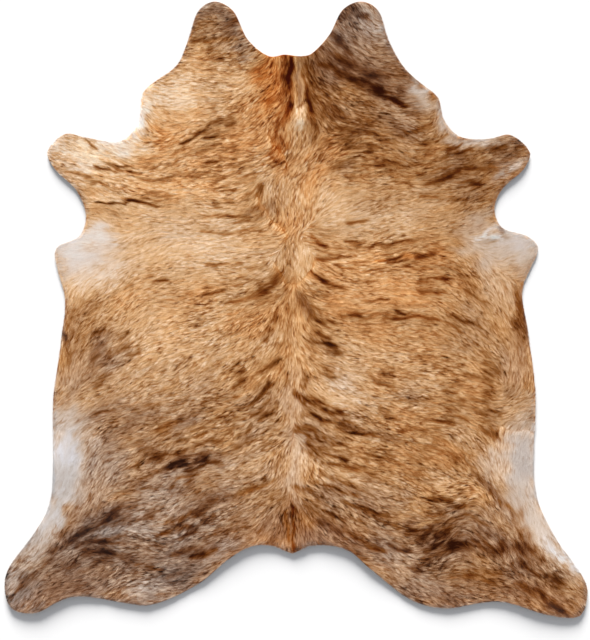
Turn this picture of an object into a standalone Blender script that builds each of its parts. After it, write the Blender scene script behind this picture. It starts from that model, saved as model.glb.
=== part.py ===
"""Cowhide rug: one trimmed hide lying hair side up on a flat surface.

Frame: +Y is the head end, +Z is up, and the origin is on the surface in the
middle of the hide's box. Metres. The whole rug is one cut sheet, so it is one
closed solid: a smooth trimmed outline, the low relief in which it lies, and a
thickness that runs from the flesh side up to the top of the lying hair.
"""

import math
from collections import namedtuple

import bpy
import numpy as np
from mathutils import Vector
from mathutils.geometry import delaunay_2d_cdt

# Driving dimensions
LENGTH = 2.20  # neck edge to the lower hind leg, along the spine
LEATHER = 0.0025  # tanned skin
HAIR = 0.0035  # coat as it lies, above the skin
THICKNESS = LEATHER + HAIR
RIM_STEP = 0.030  # spacing of the outline's points
FIELD_STEP = 0.060  # spacing of the points inside
SPINE_STEP = 0.022  # closer rows where the neck pleat and the tail crease run
ROOT_CLEAR = 0.55  # inside points keep this share of their spacing from the rim

# The outline is drafted on a lattice of 100 units from the tail line's lowest
# leg to the neck edge. "out" runs away from the spine line and "up" towards
# the head. Each row is one landmark of the trim, from the middle of the neck
# round one side to the tail, with that landmark's place on the left and on
# the right half, because no hide is cut quite evenly.
Landmark = namedtuple("Landmark", "name left_out left_up right_out right_up")
OUTLINE = (
    Landmark("neck_notch", 1.2, 91.4, 1.2, 91.1),
    Landmark("neck_bay", 3.6, 91.1, 2.8, 91.4),
    Landmark("bay_side", 7.1, 93.7, 5.9, 94.5),
    Landmark("ear_inner", 9.8, 98.7, 8.3, 98.8),
    Landmark("ear_top", 12.7, 100.0, 11.1, 100.0),
    Landmark("ear_outer", 15.1, 98.6, 13.7, 98.8),
    Landmark("ear_root", 16.9, 93.6, 15.6, 93.6),
    Landmark("cheek", 18.7, 89.6, 18.2, 89.1),
    Landmark("jaw", 22.4, 86.9, 20.6, 86.9),
    Landmark("neck_corner", 24.2, 85.2, 23.7, 84.3),
    Landmark("neck_low", 24.9, 80.4, 24.3, 81.3),
    Landmark("foreleg_root", 27.7, 77.3, 27.0, 78.1),
    Landmark("foreleg_top", 33.0, 77.8, 32.0, 77.7),
    Landmark("forefoot_top", 36.8, 78.5, 35.2, 78.4),
    Landmark("forefoot", 39.7, 75.5, 38.5, 75.4),
    Landmark("forefoot_low", 38.3, 72.7, 37.4, 72.8),
    Landmark("foreleg_under", 34.9, 69.4, 33.9, 69.6),
    Landmark("armpit", 33.4, 65.2, 32.7, 66.4),
    Landmark("armpit_low", 34.6, 61.8, 34.0, 63.2),
    Landmark("elbow_top", 38.1, 60.2, 37.9, 62.0),
    Landmark("elbow", 38.5, 59.1, 39.8, 60.2),
    Landmark("elbow_low", 37.8, 55.6, 38.1, 55.8),
    Landmark("flank_top", 36.8, 52.0, 37.2, 53.1),
    Landmark("flank", 37.4, 45.5, 38.1, 46.8),
    Landmark("belly", 38.7, 36.0, 39.3, 37.9),
    Landmark("stifle", 38.8, 26.5, 39.2, 24.1),
    Landmark("thigh_top", 39.3, 18.7, 39.6, 19.7),
    Landmark("thigh", 42.4, 13.0, 43.1, 12.3),
    Landmark("hock", 46.0, 8.0, 46.9, 6.9),
    Landmark("hindfoot", 46.6, 5.2, 47.8, 4.5),
    Landmark("hindfoot_low", 45.6, 1.8, 46.6, 0.5),
    Landmark("heel", 42.0, 0.9, 42.1, 0.5),
    Landmark("hind_under", 35.6, 3.6, 33.9, 2.8),
    Landmark("lobe_outer", 27.2, 2.6, 30.7, 2.6),
    Landmark("rear_lobe", 23.0, 2.2, 24.6, 1.7),
    Landmark("lobe_inner", 15.2, 5.6, 19.3, 3.0),
    Landmark("tail_bay", 10.5, 9.5, 12.8, 7.9),
    Landmark("bay_top", 6.3, 11.9, 8.4, 11.4),
    Landmark("tail_side", 2.7, 11.7, 2.6, 11.8),
    Landmark("tail", 0.0, 10.6, 0.0, 10.6),
)

# Where the trimmed edge stands off the floor: the rim rises by "height" at the
# middle of the stretch, dies out over "along" to either side and over "inward"
# towards the body. Sides: -1 left, +1 right, 0 on the spine. Millimetres for
# the height, lattice units for the rest.
Lift = namedtuple("Lift", "name side out up along inward height")
LIFTS = (
    Lift("neck", 0, 0.0, 91.5, 8.0, 3.0, 5.0),
    Lift("left_ear", -1, 13.0, 98.0, 6.0, 5.0, 6.0),
    Lift("right_ear", 1, 11.5, 98.0, 6.0, 5.0, 8.0),
    Lift("left_forefoot", -1, 37.5, 72.5, 7.0, 5.0, 7.0),
    Lift("right_forefoot", 1, 36.5, 72.5, 7.0, 5.0, 8.0),
    Lift("left_elbow", -1, 38.0, 58.0, 6.0, 4.0, 3.0),
    Lift("right_elbow", 1, 39.0, 58.0, 6.0, 4.0, 3.0),
    Lift("left_flank", -1, 38.0, 42.0, 11.0, 3.0, 4.0),
    Lift("right_flank", 1, 38.5, 40.0, 11.0, 3.0, 5.0),
    Lift("left_hindfoot", -1, 39.5, 2.5, 9.0, 5.0, 16.0),
    Lift("right_hindfoot", 1, 40.0, 2.0, 9.0, 5.0, 16.0),
    Lift("left_lobe", -1, 25.0, 2.5, 9.0, 4.0, 10.0),
    Lift("right_lobe", 1, 27.0, 2.0, 9.0, 4.0, 10.0),
    Lift("left_bay", -1, 8.5, 10.5, 8.0, 5.0, 16.0),
    Lift("right_bay", 1, 9.5, 10.5, 8.0, 5.0, 16.0),
    Lift("tail", 0, 0.0, 11.0, 5.0, 5.0, 8.0),
)

# Folds set into the sheet. Each runs from one end to the other, with a height
# (negative for a trough) at both, and a half width. Lattice units, and
# millimetres for the heights.
Fold = namedtuple("Fold", "name out0 up0 out1 up1 half_width height0 height1")
FOLDS = (
    Fold("neck_pleat", 1.1, 91.5, 1.5, 81.3, 1.35, 11.0, 8.0),
    Fold("pleat_shoulder", -2.2, 91.0, -2.6, 84.0, 2.2, 5.0, 2.0),
    Fold("tail_crease", 1.6, 10.5, 0.8, 18.0, 1.5, 5.0, 1.5),
    Fold("armpit_pucker", 33.0, 62.5, 30.0, 62.6, 0.9, 5.0, 2.0),
)

UNIT = LENGTH / 100.0
MILLI = 0.001


def corner_points():
    """The landmarks as one closed loop: down the right half and back up the left."""
    right = [(r.right_out, r.right_up) for r in OUTLINE]
    left = [(-r.left_out, r.left_up) for r in OUTLINE[-2::-1]]
    return [Vector(p) * UNIT for p in right + left]


def rounded(points, step):
    """A centripetal spline through the points, sampled about every step."""
    found = []
    count = len(points)
    for i in range(count):
        p0, p1, p2, p3 = (points[(i + k) % count] for k in (-1, 0, 1, 2))
        t1 = math.sqrt((p1 - p0).length)
        t2 = t1 + math.sqrt((p2 - p1).length)
        t3 = t2 + math.sqrt((p3 - p2).length)
        pieces = max(1, round((p2 - p1).length / step))
        for k in range(pieces):
            t = t1 + (t2 - t1) * k / pieces
            a1 = p0 * ((t1 - t) / t1) + p1 * (t / t1)
            a2 = p1 * ((t2 - t) / (t2 - t1)) + p2 * ((t - t1) / (t2 - t1))
            a3 = p2 * ((t3 - t) / (t3 - t2)) + p3 * ((t - t2) / (t3 - t2))
            b1 = a1 * ((t2 - t) / t2) + a2 * (t / t2)
            b2 = a2 * ((t3 - t) / (t3 - t1)) + a3 * ((t - t1) / (t3 - t1))
            found.append(b1 * ((t2 - t) / (t2 - t1)) + b2 * ((t - t1) / (t2 - t1)))
    return found


def rim_distance(at, rim):
    """How far each point is from the outline, and on which side, inside being positive."""
    a, b = rim, np.roll(rim, -1, axis=0)
    d = b - a
    off = at[:, None, :] - a[None]
    t = ((off * d).sum(2) / (d * d).sum(1)).clip(0, 1)
    near = np.linalg.norm(off - t[:, :, None] * d, axis=2).min(1)
    x, y = at[:, 0][:, None], at[:, 1][:, None]
    crosses = (a[:, 1] > y) != (b[:, 1] > y)
    slope = np.where(np.abs(d[:, 1]) > 1e-12, d[:, 1], 1e-12)
    hits = crosses & (x < a[:, 0] + (y - a[:, 1]) * d[:, 0] / slope)
    return np.where(hits.sum(1) % 2 == 1, near, -near)


def lattice(step, low, high):
    """Staggered rows of points, step apart."""
    rows = np.arange(low[1], high[1], step * math.sqrt(0.75))
    found = []
    for k, y in enumerate(rows):
        xs = np.arange(low[0] + step * 0.5 * (k % 2), high[0], step)
        found.append(np.stack([xs, np.full(len(xs), y)], 1))
    return np.concatenate(found)


def segment_distance(at, start, end):
    """Distance to a segment, and how far along it the nearest point is, 0 to 1."""
    run = end - start
    t = ((at - start) @ run / (run @ run)).clip(0, 1)
    return np.linalg.norm(at - (start + t[:, None] * run), axis=1), t


def relief(at, rim):
    """Height of the flesh side over the floor. It is exactly 0 away from rims and folds."""
    inward = rim_distance(at, rim).clip(0, None)
    height = np.zeros(len(at))
    for r in LIFTS:
        middle = np.array((r.side * r.out, r.up)) * UNIT
        away = np.linalg.norm(at - middle, axis=1) / (r.along * UNIT)
        reach = (1 - inward / (r.inward * UNIT)).clip(0, 1)
        bell = (1 - (away / 1.9) ** 2).clip(0, 1) ** 2
        height = np.maximum(height, r.height * MILLI * bell * reach**1.6)
    for r in FOLDS:
        start, end = np.array((r.out0, r.up0)) * UNIT, np.array((r.out1, r.up1)) * UNIT
        off, along = segment_distance(at, start, end)
        bell = (1 - (off / (1.7 * r.half_width * UNIT)) ** 2).clip(0, 1) ** 2
        rise = (r.height0 + (r.height1 - r.height0) * along) * MILLI
        height = height + rise * bell
    return np.where(height < 2e-5, 0.0, height)


def inside_points(rim):
    """Open rows over the body, and closer ones round each fold."""
    low, high = rim.min(0), rim.max(0)
    coarse = lattice(FIELD_STEP, low, high)
    fine = lattice(SPINE_STEP, low, high)

    def by_fold(at, reach):
        close = np.zeros(len(at), bool)
        for r in FOLDS:
            start = np.array((r.out0, r.up0)) * UNIT
            end = np.array((r.out1, r.up1)) * UNIT
            close |= segment_distance(at, start, end)[0] < reach
        return close

    reach = 0.055
    kept = [
        (coarse[~by_fold(coarse, reach + 0.5 * FIELD_STEP)], FIELD_STEP),
        (fine[by_fold(fine, reach)], SPINE_STEP),
    ]
    return np.concatenate(
        [at[rim_distance(at, rim) > ROOT_CLEAR * step] for at, step in kept]
    )


def remove_all():
    for ob in list(bpy.data.objects):
        bpy.data.objects.remove(ob, do_unlink=True)


def hair_material():
    mat = bpy.data.materials.new("brindle_hair_on_hide")
    mat.use_nodes = True
    shader = mat.node_tree.nodes["Principled BSDF"]
    shader.inputs["Base Color"].default_value = (0.42, 0.25, 0.13, 1.0)
    shader.inputs["Roughness"].default_value = 0.6
    shader.inputs["Metallic"].default_value = 0.0
    return mat


def hide(collection):
    trim = corner_points()
    rim_points = rounded(trim, RIM_STEP)
    rim = np.array([tuple(p) for p in rim_points])
    # The origin is under the middle of the outline's box.
    middle = (rim.min(0) + rim.max(0)) / 2
    field = inside_points(rim)
    flat = np.concatenate([rim, field])
    ring = list(range(len(rim)))
    points, _, faces, _, _, _ = delaunay_2d_cdt(
        [Vector(p) for p in flat], [], [ring], 1, 1e-7
    )
    at = np.array([tuple(p) for p in points])
    height = relief(at, rim)
    spots = np.column_stack([at - middle, height])

    mesh = bpy.data.meshes.new("hide")
    mesh.from_pydata([tuple(p) for p in spots], [], [tuple(f) for f in faces])
    mesh.validate()
    mesh.update()
    if sum(p.normal.z * p.area for p in mesh.polygons) < 0:
        mesh.flip_normals()
    mesh.materials.append(hair_material())
    mesh.shade_smooth()
    mesh.set_sharp_from_angle(angle=math.radians(50))
    ob = bpy.data.objects.new("hide", mesh)
    collection.objects.link(ob)

    body = ob.modifiers.new("skin_and_coat", "SOLIDIFY")
    body.thickness = THICKNESS
    body.offset = 1.0
    body.use_even_offset = False
    body.use_rim = True
    return ob


def main():
    remove_all()
    collection = bpy.data.collections.new("cowhide_rug")
    bpy.context.scene.collection.children.link(collection)
    hide(collection)


main()
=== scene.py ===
"""Cowhide rug, hair side up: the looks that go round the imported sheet.

Frame: +Y is the head end, +Z is up, the origin is on the floor in the middle of
the hide's box. Metres. The skin is one closed sheet with a bed of close fur, a
suede flesh side and a pale cut edge. The coat on it is about 850,000 hairs, laid
along the animal's own hair lines and coloured by a brindle pattern that is
worked out here from named patches, marks and seeded noise.
"""

import math
from collections import namedtuple

import bpy
import numpy as np
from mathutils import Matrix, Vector
from mathutils.geometry import delaunay_2d_cdt


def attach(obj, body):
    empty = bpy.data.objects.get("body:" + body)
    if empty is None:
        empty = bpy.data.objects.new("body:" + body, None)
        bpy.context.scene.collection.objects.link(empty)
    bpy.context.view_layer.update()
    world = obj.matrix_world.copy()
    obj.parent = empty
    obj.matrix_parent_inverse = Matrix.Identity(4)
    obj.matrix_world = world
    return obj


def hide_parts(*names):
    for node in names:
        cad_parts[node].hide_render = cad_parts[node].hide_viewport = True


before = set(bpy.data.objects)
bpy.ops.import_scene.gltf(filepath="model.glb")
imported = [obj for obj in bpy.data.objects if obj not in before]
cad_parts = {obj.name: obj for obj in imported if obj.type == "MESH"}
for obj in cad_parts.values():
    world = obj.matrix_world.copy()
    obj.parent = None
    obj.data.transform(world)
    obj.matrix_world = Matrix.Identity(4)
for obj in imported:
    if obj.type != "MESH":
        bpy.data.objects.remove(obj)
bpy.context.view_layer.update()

# ------------------------------------------------------------------ named sizes
LENGTH = 2.20
UNIT = LENGTH / 100.0
MILLI = 0.001
LEATHER = 0.0025  # tanned skin, as seen at the cut edge
FUR_BED = 0.0022  # close underfur, solid to the eye
EDGE_ROUND = 0.0025  # the coat thins out over this width at the trim
RIM_STEP = 0.006
FIELD_STEP = 0.0125
FOLD_STEP = 0.0065

HAIRS = 830000
HAIR_LENGTH = 0.020
HAIR_WIDTH = 0.0014
STRAND_SPREAD = 0.18
ROLL = 0.05  # how unevenly hairs lie over on their sides, as a share of their width
HAIR_LIFT = 0.0014
OVERHANG = 0.0035

# The photograph's frame: 590 x 640 places, from the top left corner.
PLACES_X, PLACES_Y = 590, 640
PLACES_A_METRE = 279.97
MIDDLE_X, MIDDLE_Y = 296.06, 309.55
SPINE_X = 293.0
CELL = 0.5  # the pattern is worked out twice in each place

# The outline is drafted on a lattice of 100 units from the tail line's lowest
# leg to the neck edge. "out" runs away from the spine line and "up" towards
# the head. Each row is one landmark of the trim, from the middle of the neck
# round one side to the tail, with that landmark's place on the left and on
# the right half, because no hide is cut quite evenly.
Landmark = namedtuple("Landmark", "name left_out left_up right_out right_up")
OUTLINE = (
    Landmark("neck_notch", 1.2, 91.4, 1.2, 91.1),
    Landmark("neck_bay", 3.6, 91.1, 2.8, 91.4),
    Landmark("bay_side", 7.1, 93.7, 5.9, 94.5),
    Landmark("ear_inner", 9.8, 98.7, 8.3, 98.8),
    Landmark("ear_top", 12.7, 100.0, 11.1, 100.0),
    Landmark("ear_outer", 15.1, 98.6, 13.7, 98.8),
    Landmark("ear_root", 16.9, 93.6, 15.6, 93.6),
    Landmark("cheek", 18.7, 89.6, 18.2, 89.1),
    Landmark("jaw", 22.4, 86.9, 20.6, 86.9),
    Landmark("neck_corner", 24.2, 85.2, 23.7, 84.3),
    Landmark("neck_low", 24.9, 80.4, 24.3, 81.3),
    Landmark("foreleg_root", 27.7, 77.3, 27.0, 78.1),
    Landmark("foreleg_top", 33.0, 77.8, 32.0, 77.7),
    Landmark("forefoot_top", 36.8, 78.5, 35.2, 78.4),
    Landmark("forefoot", 39.7, 75.5, 38.5, 75.4),
    Landmark("forefoot_low", 38.3, 72.7, 37.4, 72.8),
    Landmark("foreleg_under", 34.9, 69.4, 33.9, 69.6),
    Landmark("armpit", 33.4, 65.2, 32.7, 66.4),
    Landmark("armpit_low", 34.6, 61.8, 34.0, 63.2),
    Landmark("elbow_top", 38.1, 60.2, 37.9, 62.0),
    Landmark("elbow", 38.5, 59.1, 39.8, 60.2),
    Landmark("elbow_low", 37.8, 55.6, 38.1, 55.8),
    Landmark("flank_top", 36.8, 52.0, 37.2, 53.1),
    Landmark("flank", 37.4, 45.5, 38.1, 46.8),
    Landmark("belly", 38.7, 36.0, 39.3, 37.9),
    Landmark("stifle", 38.8, 26.5, 39.2, 24.1),
    Landmark("thigh_top", 39.3, 18.7, 39.6, 19.7),
    Landmark("thigh", 42.4, 13.0, 43.1, 12.3),
    Landmark("hock", 46.0, 8.0, 46.9, 6.9),
    Landmark("hindfoot", 46.6, 5.2, 47.8, 4.5),
    Landmark("hindfoot_low", 45.6, 1.8, 46.6, 0.5),
    Landmark("heel", 42.0, 0.9, 42.1, 0.5),
    Landmark("hind_under", 35.6, 3.6, 33.9, 2.8),
    Landmark("lobe_outer", 27.2, 2.6, 30.7, 2.6),
    Landmark("rear_lobe", 23.0, 2.2, 24.6, 1.7),
    Landmark("lobe_inner", 15.2, 5.6, 19.3, 3.0),
    Landmark("tail_bay", 10.5, 9.5, 12.8, 7.9),
    Landmark("bay_top", 6.3, 11.9, 8.4, 11.4),
    Landmark("tail_side", 2.7, 11.7, 2.6, 11.8),
    Landmark("tail", 0.0, 10.6, 0.0, 10.6),
)

# Where the trimmed edge stands off the floor: the rim rises by "height" at the
# middle of the stretch, dies out over "along" to either side and over "inward"
# towards the body. Sides: -1 left, +1 right, 0 on the spine. Millimetres for
# the height, lattice units for the rest.
Lift = namedtuple("Lift", "name side out up along inward height")
LIFTS = (
    Lift("neck", 0, 0.0, 91.5, 8.0, 3.0, 5.0),
    Lift("left_ear", -1, 13.0, 98.0, 6.0, 5.0, 6.0),
    Lift("right_ear", 1, 11.5, 98.0, 6.0, 5.0, 8.0),
    Lift("left_forefoot", -1, 37.5, 72.5, 7.0, 5.0, 7.0),
    Lift("right_forefoot", 1, 36.5, 72.5, 7.0, 5.0, 8.0),
    Lift("left_elbow", -1, 38.0, 58.0, 6.0, 4.0, 3.0),
    Lift("right_elbow", 1, 39.0, 58.0, 6.0, 4.0, 3.0),
    Lift("left_flank", -1, 38.0, 42.0, 11.0, 3.0, 4.0),
    Lift("right_flank", 1, 38.5, 40.0, 11.0, 3.0, 5.0),
    Lift("left_hindfoot", -1, 39.5, 2.5, 9.0, 5.0, 16.0),
    Lift("right_hindfoot", 1, 40.0, 2.0, 9.0, 5.0, 16.0),
    Lift("left_lobe", -1, 25.0, 2.5, 9.0, 4.0, 10.0),
    Lift("right_lobe", 1, 27.0, 2.0, 9.0, 4.0, 10.0),
    Lift("left_bay", -1, 8.5, 10.5, 8.0, 5.0, 16.0),
    Lift("right_bay", 1, 9.5, 10.5, 8.0, 5.0, 16.0),
    Lift("tail", 0, 0.0, 11.0, 5.0, 5.0, 8.0),
)

# Folds set into the sheet. Each runs from one end to the other, with a height
# (negative for a trough) at both, and a half width. Lattice units, and
# millimetres for the heights.
Fold = namedtuple("Fold", "name out0 up0 out1 up1 half_width height0 height1")
FOLDS = (
    Fold("neck_pleat", 1.1, 91.5, 1.5, 81.3, 1.35, 11.0, 8.0),
    Fold("pleat_shoulder", -2.2, 91.0, -2.6, 84.0, 2.2, 5.0, 2.0),
    Fold("tail_crease", 1.6, 10.5, 0.8, 18.0, 1.5, 5.0, 1.5),
    Fold("armpit_pucker", 33.0, 62.5, 30.0, 62.6, 0.9, 5.0, 2.0),
)

# The line in which the hair lies, at places "out" from the spine line to either
# side: dip is how many degrees it falls towards the tail as it runs outwards.
Lie = namedtuple("Lie", "name out y dip_left dip_right")
LIE = (
    Lie("ear_tip", 72, 12, 5, 50),
    Lie("ear_inner", 60, 35, 30, 33),
    Lie("ear_outer", 96, 38, 24, -4),
    Lie("ear_root", 55, 58, 20, 32),
    Lie("cheek", 95, 62, 0, 0),
    Lie("nape", 62, 82, 0, 18),
    Lie("neck", 105, 90, 0, 10),
    Lie("neck_edge", 137, 96, -12, -36),
    Lie("neck_corner", 145, 122, -60, -62),
    Lie("neck_low", 125, 118, -14, 12),
    Lie("pleat_side", 28, 85, 28, 36),
    Lie("pleat", 6, 80, 88, 88),
    Lie("crest_side", 28, 112, 45, 45),
    Lie("crest", 8, 130, 80, -80),
    Lie("withers", 50, 145, 10, -14),
    Lie("withers_in", 30, 165, 26, -42),
    Lie("withers_low", 48, 175, 16, -6),
    Lie("fan_side", 26, 192, 82, -64),
    Lie("fan", 10, 210, 86, -78),
    Lie("fan_out", 44, 212, 20, -26),
    Lie("shoulder_high", 82, 125, 8, 9),
    Lie("shoulder", 110, 143, 26, 28),
    Lie("shoulder_out", 135, 157, 12, -12),
    Lie("shoulder_low", 78, 186, -3, -6),
    Lie("back_high", 72, 218, -4, -9),
    Lie("ribs_high", 112, 212, -6, -10),
    Lie("foreleg_root", 170, 176, -20, -12),
    Lie("foreleg", 205, 160, -16, -15),
    Lie("forefoot", 232, 148, -20, -10),
    Lie("foreleg_low", 182, 202, -15, -28),
    Lie("armpit", 192, 228, -6, -22),
    Lie("elbow", 226, 250, 6, -30),
    Lie("elbow_in", 175, 262, 36, 40),
    Lie("ribs_out", 140, 252, 18, -2),
    Lie("ribs", 95, 250, -4, -12),
    Lie("ribs_in", 52, 248, 6, 0),
    Lie("whorl_high", 26, 242, 6, 8),
    Lie("whorl_top", 8, 262, 85, -85),
    Lie("whorl_side", 25, 281, 22, 22),
    Lie("flank_high", 190, 300, 42, 48),
    Lie("flank_edge", 222, 315, 62, 68),
    Lie("flank_in", 160, 305, 32, 32),
    Lie("side_high", 125, 296, 10, 4),
    Lie("side_in", 76, 293, 0, -2),
    Lie("loin_high", 40, 297, 13, 9),
    Lie("spine_high", 5, 320, 88, 88),
    Lie("spine_side", 18, 330, 68, 33),
    Lie("loin", 45, 328, 25, 18),
    Lie("side", 85, 340, 13, 9),
    Lie("side_out", 120, 352, 28, 16),
    Lie("flank", 160, 368, 26, 17),
    Lie("flank_low", 190, 356, 42, 38),
    Lie("flank_rim", 231, 368, 84, 92),
    Lie("belly", 225, 407, 34, -30),
    Lie("belly_in", 182, 408, 20, 17),
    Lie("side_low", 130, 402, 17, 9),
    Lie("side_low_in", 92, 400, 20, 12),
    Lie("loin_low", 52, 396, 30, 25),
    Lie("spine", 5, 400, 86, 86),
    Lie("spine_edge", 16, 402, 38, 22),
    Lie("panel", 231, 450, 86, 98),
    Lie("panel_in", 202, 452, 54, 78),
    Lie("haunch_out", 172, 450, 24, 44),
    Lie("haunch", 132, 455, 25, 22),
    Lie("haunch_in", 96, 452, 12, 12),
    Lie("rump", 60, 446, 21, 22),
    Lie("rump_in", 28, 436, 27, 30),
    Lie("spine_end", 5, 470, 86, 86),
    Lie("thigh_out", 200, 493, 67, 52),
    Lie("thigh_top", 165, 502, 22, -18),
    Lie("thigh_in", 125, 508, 18, 18),
    Lie("thigh_low", 92, 516, 22, 22),
    Lie("rump_low", 54, 500, 20, 27),
    Lie("tail_side", 25, 490, 24, 25),
    Lie("tail", 4, 530, 88, 88),
    Lie("tail_out", 24, 528, 50, 36),
    Lie("bay", 56, 532, 18, 24),
    Lie("leg_top", 240, 530, 64, 80),
    Lie("leg", 224, 550, 46, 62),
    Lie("leg_low", 264, 566, 43, 50),
    Lie("foot", 277, 596, 45, 43),
    Lie("leg_under", 220, 582, 28, 26),
    Lie("thigh_mid", 196, 534, 26, 48),
    Lie("stifle", 182, 551, -16, 38),
    Lie("stifle_in", 142, 538, -8, -33),
    Lie("lobe_high", 148, 563, 6, -26),
    Lie("lobe_out", 181, 577, 36, 6),
    Lie("lobe", 138, 593, 9, 28),
    Lie("lobe_in", 106, 569, 14, 28),
    Lie("lobe_bay", 84, 552, 24, 16),
)

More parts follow.
